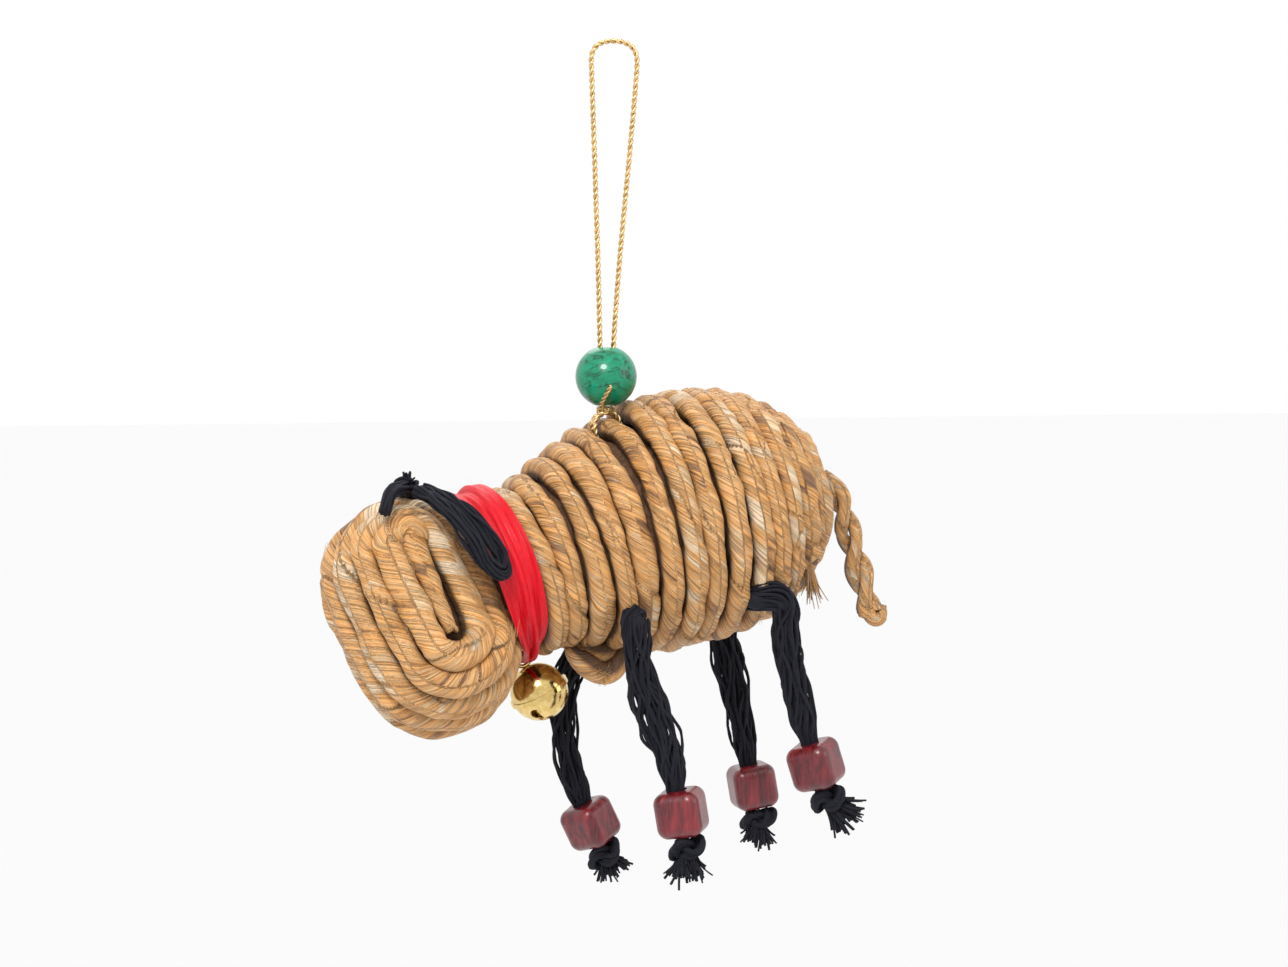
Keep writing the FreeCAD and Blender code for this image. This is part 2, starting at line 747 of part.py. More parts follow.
# ---------------------------------------------------------------- jingle bell

bell_lean = math.radians(BELL_TILT)
UP_BELL = FreeCAD.Vector(-math.sin(bell_lean), 0, math.cos(bell_lean))
EYE_TO_BELL = size("bell_radius") + size("shank_radius") + size("shank_wire_radius") - 0.1
BELL_CENTRE = EYE - UP_BELL * EYE_TO_BELL
BELL = FreeCAD.Placement(BELL_CENTRE, FreeCAD.Rotation(ACROSS, -BELL_TILT))
print(f"the bell's middle stands at {BELL_CENTRE.x:.3f}, {BELL_CENTRE.z:.3f}")


def half_shell(name, low, high, seam_from):
    """Half of the bell's ball, hollow, with its half of the seam."""
    ball = primitive("Sphere", name + "_ball", BELL, Radius="dim.bell_radius")
    ball.Angle1, ball.Angle2 = low, high
    base = BELL.multiply(FreeCAD.Placement(FreeCAD.Vector(0, 0, seam_from), FreeCAD.Rotation()))
    seam = primitive(
        "Cylinder", name + "_seam", base, Radius="dim.bell_radius + dim.bell_seam", Height="dim.bell_wall"
    )
    hollow = primitive("Sphere", name + "_hollow", BELL, Radius="dim.bell_radius - dim.bell_wall")
    return cut(name + "_shell", fused(name + "_solid", [ball, seam]), hollow)


node(half_shell("bell_top", 0, 90, 0.0), "bell_top_shell")

lower = half_shell("bell_low", -90, 0, -size("bell_wall"))
slots = []
for name, turn in (("slot_a", 0), ("slot_b", 90)):
    slot = doc.addObject("Part::Box", name)
    bind(
        slot,
        Length="2 * dim.bell_radius + 2",
        Width="dim.bell_slot",
        Height="dim.bell_radius",
    )
    slot.Placement = BELL.multiply(
        FreeCAD.Placement(FreeCAD.Vector(), FreeCAD.Rotation(UP, 45 + turn))
    ).multiply(
        FreeCAD.Placement(
            FreeCAD.Vector(
                -size("bell_radius") - 1,
                -size("bell_slot") / 2,
                -size("bell_radius") - size("bell_slot_top") - 1.0,
            ),
            FreeCAD.Rotation(),
        )
    )
    slots.append(slot)
    along_slot = BELL.Rotation.multVec(
        FreeCAD.Rotation(UP, 45 + turn).multVec(FreeCAD.Vector(1, 0, 0))
    )
    middle = BELL.multVec(FreeCAD.Vector(0, 0, -size("bell_slot_top") - 1.0))
    hole = primitive(
        "Cylinder",
        name + "_ends",
        standing(middle - along_slot * (size("bell_radius") + 1), along_slot),
        Radius="dim.bell_slot",
    )
    hole.Height = 2 * size("bell_radius") + 2
    slots.append(hole)
node(cut("bell_claws", lower, fused("bell_slots", slots)), "bell_claw_shell")

eye = primitive(
    "Torus",
    "bell_eye",
    standing(EYE, ACROSS),
    Radius1="dim.shank_radius",
    Radius2="dim.shank_wire_radius",
)
node(eye, "bell_shank")
pea_drop = size("bell_radius") - size("bell_wall") - size("pea_radius") - 0.05
pea = primitive("Sphere", "pea_ball", standing(BELL_CENTRE + UP * -pea_drop), Radius="dim.pea_radius")
node(pea, "bell_pea")

# ---------------------------------------------------------------- check and write

doc.recompute()
for obj in doc.Objects:
    if "Invalid" in obj.State or "Error" in obj.State:
        raise RuntimeError(f"{obj.Label} failed: {obj.State}")
os.makedirs("parts", exist_ok=True)
for obj in nodes:
    if obj.Shape.isNull() or not obj.Shape.isValid() or not obj.Shape.Solids:
        raise RuntimeError(f"{obj.Label} has no valid solid")
    obj.Shape.exportStep(f"parts/{obj.Label}.step")
print(f"{len(nodes)} sub-parts written")
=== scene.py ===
"""A hanging goat ornament of twisted leaf rope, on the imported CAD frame. Metres, head towards -X, +Z up."""

import math

import bpy
import numpy as np
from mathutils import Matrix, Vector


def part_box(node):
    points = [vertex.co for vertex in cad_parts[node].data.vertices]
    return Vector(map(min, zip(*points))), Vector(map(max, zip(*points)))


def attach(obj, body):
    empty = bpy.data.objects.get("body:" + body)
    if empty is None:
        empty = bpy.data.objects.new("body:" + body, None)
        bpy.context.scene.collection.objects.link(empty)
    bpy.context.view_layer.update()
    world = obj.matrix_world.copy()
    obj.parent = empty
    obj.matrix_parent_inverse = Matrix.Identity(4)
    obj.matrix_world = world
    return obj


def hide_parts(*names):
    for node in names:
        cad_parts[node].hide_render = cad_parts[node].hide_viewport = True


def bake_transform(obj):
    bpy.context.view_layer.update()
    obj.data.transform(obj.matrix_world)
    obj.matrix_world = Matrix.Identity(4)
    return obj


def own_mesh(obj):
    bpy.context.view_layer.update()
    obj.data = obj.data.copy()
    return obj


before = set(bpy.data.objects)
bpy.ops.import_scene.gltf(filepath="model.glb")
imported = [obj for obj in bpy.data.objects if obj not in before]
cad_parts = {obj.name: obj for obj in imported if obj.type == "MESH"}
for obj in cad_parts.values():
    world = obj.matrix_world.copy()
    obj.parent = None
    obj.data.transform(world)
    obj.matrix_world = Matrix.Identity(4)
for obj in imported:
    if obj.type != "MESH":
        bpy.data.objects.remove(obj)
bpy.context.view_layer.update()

MM = 0.001
ACROSS = np.array([0.0, 1.0, 0.0])


def mm(*values):
    """A point or size given in millimetres, in metres."""
    return np.array(values, float) * MM


# ---------------------------------------------------------------- the shape that part.py fixes

ROPE_PITCH = 3.9 * MM
BODY_CENTRE = mm(8.0, 0, -82.6)
BODY_RISE = math.radians(12.5)
SPINE_BEND = 143 * MM
BARREL_RADIUS = 20.0 * MM
NECK_TURN_RADIUS = 12.4 * MM
NECK_RUN = 32.0 * MM
BARREL_REAR = 27.0 * MM
RUMP_FULLNESS = 2.5
WIDEST_AT = 3.5 * MM
NECK_AT = -25.0 * MM
HITCH_SINK = 0.8 * MM

HEAD_CENTRE = mm(-33.1, 0, -97.0)
HEAD_LEAN = math.radians(20.0)
HEAD_ROLL = math.radians(28.0)
HEAD_HALF_RUN = 6.6 * MM
HEAD_DEPTH = 11.4 * MM
HEAD_WIDTH = 13.3 * MM

RIBBON_CENTRE = mm(-20.6, 0, -90.3)
RIBBON_LEAN = math.radians(21.0)
RIBBON_RADIUS = 15.0 * MM

# each leg's hip, then its bends on the way to its bead
LEGS = {
    "front_left": [mm(-1.5, -16.8, -97.5), mm(-0.5, -16.8, -108.0), mm(5.2, -16.8, -120.3)],
    "front_right": [mm(6.2, 16.8, -101.0), mm(-1.8, 16.8, -108.8), mm(-1.4, 16.8, -125.2)],
    "rear_left": [mm(26.0, -16.6, -95.2), mm(25.8, -16.6, -102.2), mm(28.9, -16.6, -114.5)],
    "rear_right": [mm(27.1, 16.6, -95.2), mm(29.0, 16.6, -105.2), mm(32.6, 16.6, -120.2)],
}
# the middle of each cube bead
BEADS = {
    "front_left": mm(6.8, -16.8, -129.4),
    "front_right": mm(3.6, 16.8, -135.3),
    "rear_left": mm(31.5, -16.6, -122.5),
    "rear_right": mm(34.4, 16.6, -130.2),
}
CUBE_HALF = 3.9 * MM
EAR_ROUTE = [
    mm(-34.2, -3.4, -75.6),
    mm(-32.0, -10.6, -77.0),
    mm(-28.6, -16.2, -82.2),
    mm(-25.4, -18.2, -88.4),
]
CROWN = mm(-35.4, 0, -75.0)
TAIL_ROUTE = [
    mm(43.6, 0, -77.6),
    mm(46.0, 0, -87.4),
    mm(49.6, 0, -98.6),
]

# ---------------------------------------------------------------- what only this script has

ROPE_HALF_WIDTH = 1.86 * MM
ROPE_HALF_HEIGHT = 2.15 * MM
# room beside the turn that the cord's hitch holds; the CAD leaves 1.3 mm
HITCH_GAP = 0.9 * MM
# the body's rope is two pieces, which meet this many turns behind the hitch
FRONT_TURNS = 2.45
# fewer turns and a thicker rope than the CAD's head, which has nine rings
HEAD_TURNS = 7
HEAD_ROPE_HALF_WIDTH = 2.45 * MM
HEAD_ROPE_HALF_HEIGHT = 2.3 * MM
# the gold cord, from the knot over the top and back, with more points at its top than the CAD's
LOOP_ROUTE = [
    mm(-1.0, 0, -61.8),
    mm(-1.0, 0, -51.0),
    mm(-2.5, 0, -8.0),
    mm(-2.8, 0, -0.6),
    mm(5.8, 0, -0.6),
    mm(5.5, 0, -8.0),
    mm(1.0, 0, -51.0),
    mm(1.0, 0, -61.8),
]
# each leg's yarn inside the body, up to its hip
INSIDE = {
    "front_left": [mm(0.6, -11.0, -98.2), mm(-1.6, -16.4, -96.6)],
    "front_right": [mm(5.0, 11.0, -100.3), mm(6.9, 16.4, -100.0)],
    "rear_left": [mm(19.4, -12.0, -94.6), mm(20.2, -16.3, -94.2), mm(24.0, -17.4, -93.4)],
    "rear_right": [mm(25.0, 10.0, -94.9), mm(27.0, 15.0, -94.2)],
}
LEG_SEEDS = {"front_left": 11, "front_right": 12, "rear_left": 13, "rear_right": 14}
# where a leg's threads part in two: from, to and the gap
PARTED = {"front_left": (18 * MM, 29 * MM, 0.9 * MM), "rear_right": (16 * MM, 27 * MM, 0.5 * MM)}
LEG_THREADS = 40
# a thread's grain turns once in this length; the angle is from one thread of a skein to the next
YARN_LAY = 2.4 * MM
GOLDEN_ANGLE = 2.399963
TUFT_THREADS = 120
TUFT_LENGTHS = {
    "front_left": 4.4 * MM,
    "front_right": 3.4 * MM,
    "rear_left": 5.2 * MM,
    "rear_right": 3.6 * MM,
}
TUFT_LEANS = {
    "front_left": np.array([-0.25, -0.1, 0.0]),
    "front_right": np.array([0.12, 0.1, 0.0]),
    "rear_left": np.array([0.95, -0.1, 0.0]),
    "rear_right": np.array([-0.2, 0.1, 0.0]),
}
# the CAD's route, with its last point nearer
CROWN_END_ROUTE = [
    mm(-37.2, -2.4, -75.0),
    mm(-41.0, -7.2, -75.6),
    mm(-42.2, -9.0, -79.0),
]
# the tail's first point, at the rump
TAIL_START = mm(40.6, 0, -74.8)
# the two curled rope ends under the chest, each with its half width
BELLY_ROPES = [
    (
        [mm(2.6, -3, -101.6), mm(1.6, -3, -106.0), mm(-3.2, -3.2, -107.8), mm(-8.4, -3.6, -102.4)],
        2.15 * MM,
    ),
    ([mm(3.0, -1.6, -101.4), mm(-1.4, -1.8, -105.6), mm(-6.4, -2.0, -101.6)], 2.0 * MM),
]
BELLY_FRAY = mm(-2.6, -4.4, -106.6)
RUMP_FRAY = mm(32.6, -11.6, -89.4)
# the two cut ends of the gold knot
GOLD_ENDS = [
    [mm(-1.4, -1.2, -62.0), mm(-1.9, -3.9, -60.6), mm(-1.2, -5.4, -58.6)],
    [mm(-1.6, -0.8, -63.6), mm(-2.9, -1.6, -65.2), mm(-2.5, -2.0, -66.9)],
]

# ---------------------------------------------------------------- camera

VIEW_AZIMUTH = math.radians(-22.0)
VIEW_ELEVATION = math.radians(2.5)
FRAME_WIDTH = 218 * MM
VIEW_RIGHT = np.array([math.cos(VIEW_AZIMUTH), math.sin(VIEW_AZIMUTH), 0.0])
VIEW_CENTRE = VIEW_RIGHT * 6.4 * MM + mm(0, 0, -75.2)


def add_camera():
    """A long lens at the height of the body, a little towards the animal's front left."""
    data = bpy.data.cameras.new("camera")
    data.lens = 100
    data.sensor_width = 36
    away = FRAME_WIDTH * data.lens / data.sensor_width
    back = np.array(
        [
            math.sin(VIEW_AZIMUTH) * math.cos(VIEW_ELEVATION),
            -math.cos(VIEW_AZIMUTH) * math.cos(VIEW_ELEVATION),
            math.sin(VIEW_ELEVATION),
        ]
    )
    camera = bpy.data.objects.new("camera", data)
    camera.location = VIEW_CENTRE + back * away
    camera.rotation_euler = (math.pi / 2 - VIEW_ELEVATION, 0, VIEW_AZIMUTH)
    bpy.context.collection.objects.link(camera)
    bpy.context.scene.camera = camera


# ---------------------------------------------------------------- small tools


def unit(v):
    """v at length one, or each row of it."""
    v = np.asarray(v, float)
    return v / np.maximum(np.linalg.norm(v, axis=-1, keepdims=True), 1e-12)


def turned(v, axis, angle):
    """v turned about an axis through the origin."""
    axis = unit(axis)
    return (
        v * math.cos(angle)
        + np.cross(axis, v) * math.sin(angle)
        + np.outer(np.atleast_2d(v) @ axis, axis).reshape(np.shape(v)) * (1 - math.cos(angle))
    )


def wander(rng, x, feature, count=5):
    """A smooth random wave over x, about -1 to 1, with features of roughly that length."""
    total = np.zeros_like(np.asarray(x, float))
    for _ in range(count):
        total += np.sin(2 * math.pi * x / (feature * rng.uniform(0.6, 2.2)) + rng.uniform(0, 7))
    return total / math.sqrt(count)


def arc_lengths(path):
    """How far along its line each point is, in metres."""
    steps = np.linalg.norm(np.diff(path, axis=0), axis=1)
    return np.concatenate([[0.0], np.cumsum(steps)])


def resampled(path, step):
    """The same line with points about one step apart."""
    along = arc_lengths(path)
    places = np.linspace(0, along[-1], max(3, int(along[-1] / step) + 1))
    return np.stack([np.interp(places, along, path[:, k]) for k in range(3)], axis=1)


def smooth_line(points, step):
    """The line of a NURBS spline that follows a given route, as Blender evaluates it."""
    data = bpy.data.curves.new("route", "CURVE")
    data.dimensions = "3D"
    data.resolution_u = 32
    spline = data.splines.new("NURBS")
    spline.points.add(len(points) - 1)
    for point, place in zip(spline.points, points):
        point.co = (*place, 1.0)
    spline.order_u = 3
    spline.use_endpoint_u = True
    holder = bpy.data.objects.new("route", data)
    bpy.context.collection.objects.link(holder)
    mesh = bpy.data.meshes.new_from_object(holder)
    line = np.array([v.co[:] for v in mesh.vertices])
    bpy.data.objects.remove(holder)
    bpy.data.curves.remove(data)
    bpy.data.meshes.remove(mesh)
    return resampled(line, step)


def frames(path, outward=None):
    """Unit tangent, normal and side at each point. The normal follows outward, or is carried along."""
    tangent = unit(np.gradient(path, axis=0))
    if outward is None:
        normal = np.zeros_like(path)
        start = np.cross(tangent[0], [0.3, 0.9, 0.2])
        normal[0] = unit(start)
        for i in range(1, len(path)):
            carried = normal[i - 1] - tangent[i] * (normal[i - 1] @ tangent[i])
            normal[i] = unit(carried)
    else:
        outward = np.broadcast_to(outward, path.shape)
        normal = unit(outward - tangent * np.sum(outward * tangent, axis=1, keepdims=True))
    return tangent, normal, np.cross(tangent, normal)


def trefoil(t):
    """The two flat coordinates of a trefoil knot with a radius of about one."""
    return (np.sin(t) + 2 * np.sin(2 * t)) / 3, (np.cos(t) - 2 * np.cos(2 * t)) / 3


class Tubes:
    """Gathers closed tubes into one mesh, with what the materials need at each point."""

    def __init__(self):
        self.points, self.faces, self.grain, self.tone, self.fold = [], [], [], [], []
        self.count = 0

    def add(self, rings, grain, tone=0.5, fold=0.0):
        """Adds a tube with both ends closed.

        rings is stations by corners by xyz, and so is grain; tone and fold are a number or one a corner, and
        fold is how much painted shade a point takes.
        """
        stations, corners = rings.shape[:2]
        first = self.count
        self.points.append(rings.reshape(-1, 3))
        self.grain.append(np.broadcast_to(grain, rings.shape).reshape(-1, 3))
        self.tone.append(np.broadcast_to(tone, (stations, corners)).reshape(-1))
        self.fold.append(np.broadcast_to(fold, (stations, corners)).reshape(-1))
        i, j = np.meshgrid(np.arange(stations - 1), np.arange(corners), indexing="ij")
        near = first + i * corners
        far = near + corners
        on = (j + 1) % corners
        quads = np.stack([near + j, near + on, far + on, far + j], axis=-1).reshape(-1, 4)
        self.faces.extend(quads.tolist())
        self.count += stations * corners
        for station, forward in ((0, False), (stations - 1, True)):
            self.points.append(rings[station].mean(axis=0, keepdims=True))
            self.grain.append(np.asarray(self.grain[-1]).reshape(-1, 3)[:1])
            self.tone.append(np.full(1, float(np.mean(tone))))
            self.fold.append(np.zeros(1))
            centre = self.count
            self.count += 1
            for k in range(corners):
                a, b = first + station * corners + k, first + station * corners + (k + 1) % corners
                self.faces.append([centre, a, b] if forward else [centre, b, a])

    def round(self, path, radius, corners=8, twist=0.0, tone=0.5, normal=None):
        """A plain round tube; radius is a number or one a point; twist turns its grain, per metre."""
        _, out, side = frames(path, normal)
        angle = np.linspace(0, 2 * math.pi, corners, endpoint=False)
        radius = np.broadcast_to(radius, len(path))[:, None, None]
        ring = np.cos(angle)[None, :, None] * out[:, None] + np.sin(angle)[None, :, None] * side[:, None]
        along = arc_lengths(path)[:, None]
        turn = angle[None] - twist * along
        size = np.mean(radius) / MM
        grain = np.stack([np.cos(turn) * size, np.sin(turn) * size, along / MM + 0 * turn], axis=-1)
        self.add(path[:, None] + ring * radius, grain, tone)

    def build(self, name, material):
        """The mesh object of all tubes so far, with grain, tone and fold (how much painted shade each point
        takes) as attributes.
        """
        mesh = bpy.data.meshes.new(name)
        mesh.from_pydata(np.concatenate(self.points).tolist(), [], self.faces)
        grain = mesh.attributes.new("grain", "FLOAT_VECTOR", "POINT")
        grain.data.foreach_set("vector", np.concatenate(self.grain).astype(np.float32).ravel())
        for key, values in (("tone", self.tone), ("fold", self.fold)):
            data = mesh.attributes.new(key, "FLOAT", "POINT")
            data.data.foreach_set("value", np.concatenate(values).astype(np.float32))
        mesh.polygons.foreach_set("use_smooth", np.ones(len(mesh.polygons), bool))
        mesh.materials.append(material)
        mesh.update()
        piece = bpy.data.objects.new(name, mesh)
        bpy.context.collection.objects.link(piece)
        return piece


# ---------------------------------------------------------------- materials


class Shader:
    """A material's node tree, with a short way to add and join nodes."""

    def __init__(self, name):
        self.material = bpy.data.materials.new(name)
        self.material.use_nodes = True
        self.tree = self.material.node_tree
        self.surface = self.tree.nodes["Principled BSDF"]

    def node(self, kind, inputs=None, **settings):
        made = self.tree.nodes.new("ShaderNode" + kind)
        for key, value in settings.items():
            setattr(made, key, value)
        for key, value in (inputs or {}).items():
            self.put(made.inputs[key], value)
        return made

    def put(self, socket, value):
        """Joins a socket to another one, or sets it to a constant."""
        if isinstance(value, bpy.types.NodeSocket):
            self.tree.links.new(value, socket)
        else:
            socket.default_value = value

    def base(self, **values):
        """Sets inputs of the surface, with _ for the spaces in their names."""
        for key, value in values.items():
            self.put(self.surface.inputs[key.replace("_", " ")], value)

    def attribute(self, name, output="Vector"):
        return self.node("Attribute", attribute_name=name).outputs[output]

    def scaled(self, vector, scale):
        made = self.node("VectorMath", operation="MULTIPLY")
        self.put(made.inputs[0], vector)
        made.inputs[1].default_value = scale
        return made.outputs[0]

    def noise(self, vector, detail, rough, warp=0.0):
        inputs = {"Vector": vector, "Scale": 1.0, "Detail": detail, "Roughness": rough}
        inputs["Distortion"] = warp
        return self.node("TexNoise", inputs).outputs["Fac"]

    def ramp(self, value, stops):
        made = self.node("ValToRGB", {"Fac": value})
        line = made.color_ramp
        while len(line.elements) < len(stops):
            line.elements.new(0.5)
        for element, (place, colour) in zip(line.elements, stops):
            element.position = place
            element.color = (*colour, 1.0)
        return made.outputs["Color"]

    def grey(self, value, low, high, dark, light):
        """Maps a value's range from low to high onto dark to light."""
        made = self.node(
            "MapRange",
            {"Value": value, "From Min": low, "From Max": high, "To Min": dark, "To Max": light},
        )
        return made.outputs["Result"]

    def mix(self, factor, a, b, mode="MIX"):
        made = self.node("Mix", data_type="RGBA", blend_type=mode)
        self.put(made.inputs[0], factor)
        self.put(made.inputs[6], a)
        self.put(made.inputs[7], b)
        return made.outputs[2]

    def sum(self, a, b, operation="ADD"):
        made = self.node("Math", operation=operation)
        self.put(made.inputs[0], a)
        self.put(made.inputs[1], b)
        return made.outputs[0]

    def bump(self, height, depth, strength, under=None):
        """A normal for a height from 0 to 1 that stands for depth metres, over another normal."""
        inputs = {"Height": height, "Distance": depth, "Strength": strength}
        if under is not None:
            inputs["Normal"] = under
        return self.node("Bump", inputs).outputs["Normal"]


TAN = (0.66, 0.385, 0.165)
ORANGE = (0.70, 0.325, 0.088)
PALE = (0.76, 0.575, 0.38)
BROWN = (0.25, 0.12, 0.050)
# the dark umber of painted shade, in the rope's creases, on its sides between turns and on the core
PAINTED_SHADE_UMBER = (0.055, 0.022, 0.010)


def leaf_material(name, pale=0.0):
    """Dry twisted leaf: fine lines along the fibre, orange and pale stretches, brown spots, and painted shade
    in the creases and on the sides between turns.
    """
    made = Shader(name)
    grain = made.attribute("grain")
    tone = made.attribute("tone", "Fac")
    lines = made.noise(made.scaled(grain, (3.0, 3.0, 0.04)), 2, 0.5)
    fibre = made.noise(made.scaled(grain, (7.5, 7.5, 0.22)), 2, 0.5)
    patches = made.noise(made.scaled(grain, (0.26, 0.26, 0.075)), 5, 0.62, 0.9)
    fuzz = made.noise(made.scaled(grain, (0.9, 0.9, 0.22)), 6, 0.7, 0.8)
    spots = made.noise(made.scaled(grain, (1.3, 1.3, 0.5)), 5, 0.65, 1.0)
    place = made.sum(made.sum(patches, made.grey(tone, 0, 1, -0.12, 0.12)), pale)
    colour = made.ramp(
        place,
        [(0.31, BROWN), (0.40, ORANGE), (0.48, TAN), (0.54, ORANGE), (0.60, TAN), (0.68, PALE)],
    )
    colour = made.mix(made.grey(fuzz, 0.56, 0.72, 0.0, 0.7), colour, (*PALE, 1))
    colour = made.mix(made.grey(spots, 0.60, 0.72, 0.0, 0.85), colour, (*BROWN, 1))
    shade = made.grey(lines, 0.38, 0.58, 0.56, 1.10)
    tint = made.node("CombineColor", {"Red": shade, "Green": shade, "Blue": shade}).outputs[0]
    colour = made.mix(1.0, colour, tint, "MULTIPLY")
    # painted shade: the fold attribute darkens the rope's creases and the sides facing neighbouring turns to
    # umber
    folds = made.grey(made.attribute("fold", "Fac"), 0.15, 0.95, 0.0, 0.9)
    colour = made.mix(folds, colour, (*PAINTED_SHADE_UMBER, 1))
    made.base(Base_Color=colour)
    made.base(Roughness=made.grey(fuzz, 0.4, 0.7, 0.36, 0.7))
    made.surface.inputs["Specular IOR Level"].default_value = 0.5
    normal = made.bump(lines, 0.00065, 1.0)
    normal = made.bump(fibre, 0.00012, 0.7, normal)
    made.base(Normal=made.bump(fuzz, 0.00035, 0.6, normal))
    return made.material


def core_material():
    """Crumpled dry leaves, coloured dark umber as painted shade where they show between the turns."""
    made = Shader("leaf_core")
    place = made.node("TexCoord").outputs["Object"]
    crumple = made.noise(made.scaled(place, (500, 900, 500)), 5, 0.65, 0.8)
    # painted shade: dark umbers for the core that shows in the gaps between the turns
    colour = made.ramp(crumple, [(0.35, PAINTED_SHADE_UMBER), (0.60, (0.13, 0.060, 0.024))])
    made.base(Base_Color=colour, Roughness=0.85, Normal=made.bump(crumple, 0.0006, 0.8))
    return made.material


def yarn_material():
    """Black wool with a little navy in its light, twisted and slightly hairy."""
    made = Shader("black_yarn_wool")
    grain = made.attribute("grain")
    plies = made.noise(made.scaled(grain, (5.0, 5.0, 0.5)), 4, 0.6)
    colour = made.ramp(plies, [(0.3, (0.0020, 0.0020, 0.0035)), (0.75, (0.010, 0.0105, 0.018))])
    made.base(Base_Color=colour, Roughness=0.8)
    made.surface.inputs["Sheen Weight"].default_value = 0.05
    made.surface.inputs["Specular IOR Level"].default_value = 0.25
    made.surface.inputs["Sheen Tint"].default_value = (0.55, 0.6, 0.9, 1)
    made.base(Normal=made.bump(plies, 0.00015, 0.9))
    return made.material


def gold_material():
    made = Shader("gold_thread")
    grain = made.attribute("grain")
    fine = made.noise(made.scaled(grain, (7.0, 7.0, 1.2)), 3, 0.6)
    colour = made.ramp(fine, [(0.35, (0.40, 0.23, 0.07)), (0.65, (0.92, 0.70, 0.36))])
    made.base(Base_Color=colour, Roughness=0.34)
    made.surface.inputs["Metallic"].default_value = 0.85
    made.base(Normal=made.bump(fine, 0.00006, 0.8))
    return made.material


def green_bead_material():
    """Lacquered wood, deep green with darker mottling."""
    made = Shader("green_lacquer")
    place = made.node("TexCoord").outputs["Object"]
    mottle = made.noise(made.scaled(place, (420, 420, 700)), 6, 0.65, 1.2)
    grain = made.noise(made.scaled(place, (260, 260, 2400)), 3, 0.5)
    colour = made.ramp(
        mottle, [(0.36, (0.0, 0.040, 0.020)), (0.47, (0.0, 0.175, 0.085)), (0.66, (0.0, 0.26, 0.14))]
    )
    made.base(Base_Color=colour, Roughness=0.3)
    made.surface.inputs["Coat Weight"].default_value = 0.4
    made.surface.inputs["Coat Roughness"].default_value = 0.10
    made.surface.inputs["Specular IOR Level"].default_value = 0.3
    made.base(Normal=made.bump(grain, 0.00008, 0.35))
    return made.material


def cube_material():
    """Dyed wood: dark red, with the grain showing darker and the lacquer worn a little."""
    made = Shader("red_dyed_wood")
    place = made.node("TexCoord").outputs["Object"]
    grain = made.noise(made.scaled(place, (1500, 1500, 190)), 5, 0.6, 0.8)
    bands = made.noise(made.scaled(place, (380, 380, 90)), 3, 0.5, 1.5)
    colour = made.ramp(
        made.sum(made.sum(grain, bands), 0.5, "MULTIPLY"),
        [(0.36, (0.035, 0.002, 0.004)), (0.50, (0.115, 0.005, 0.010)), (0.66, (0.22, 0.014, 0.020))],
    )
    made.base(Base_Color=colour, Roughness=made.grey(grain, 0.3, 0.7, 0.22, 0.42))
    made.surface.inputs["Coat Weight"].default_value = 0.35
    made.surface.inputs["Coat Roughness"].default_value = 0.2
    made.base(Normal=made.bump(grain, 0.00012, 0.5))
    return made.material


def brass_material():
    made = Shader("polished_brass")
    place = made.node("TexCoord").outputs["Object"]
    dents = made.noise(made.scaled(place, (260, 260, 260)), 3, 0.5)
    wear = made.noise(made.scaled(place, (900, 900, 900)), 5, 0.7)
    colour = made.ramp(wear, [(0.35, (0.60, 0.41, 0.13)), (0.65, (0.82, 0.62, 0.27))])
    made.base(Base_Color=colour, Roughness=made.grey(wear, 0.35, 0.75, 0.10, 0.26))
    made.surface.inputs["Metallic"].default_value = 1.0
    made.base(Normal=made.bump(dents, 0.0003, 0.35))
    return made.material


def satin_material():
    made = Shader("red_satin_weave")
    grain = made.attribute("grain")
    threads = made.noise(made.scaled(grain, (9.0, 0.5, 9.0)), 3, 0.6)
    colour = made.ramp(threads, [(0.3, (0.36, 0.0, 0.005)), (0.7, (0.78, 0.0, 0.014))])
    made.base(Base_Color=colour, Roughness=0.42)
    made.surface.inputs["Specular IOR Level"].default_value = 0.3
    made.base(Normal=made.bump(threads, 0.0001, 0.5))
    return made.material


LEAF = leaf_material("leaf_rope_dry")
PALE_LEAF = leaf_material("leaf_rope_pale", 0.05)
YARN = yarn_material()
GOLD = gold_material()
SATIN = satin_material()

# ---------------------------------------------------------------- twisted leaf rope


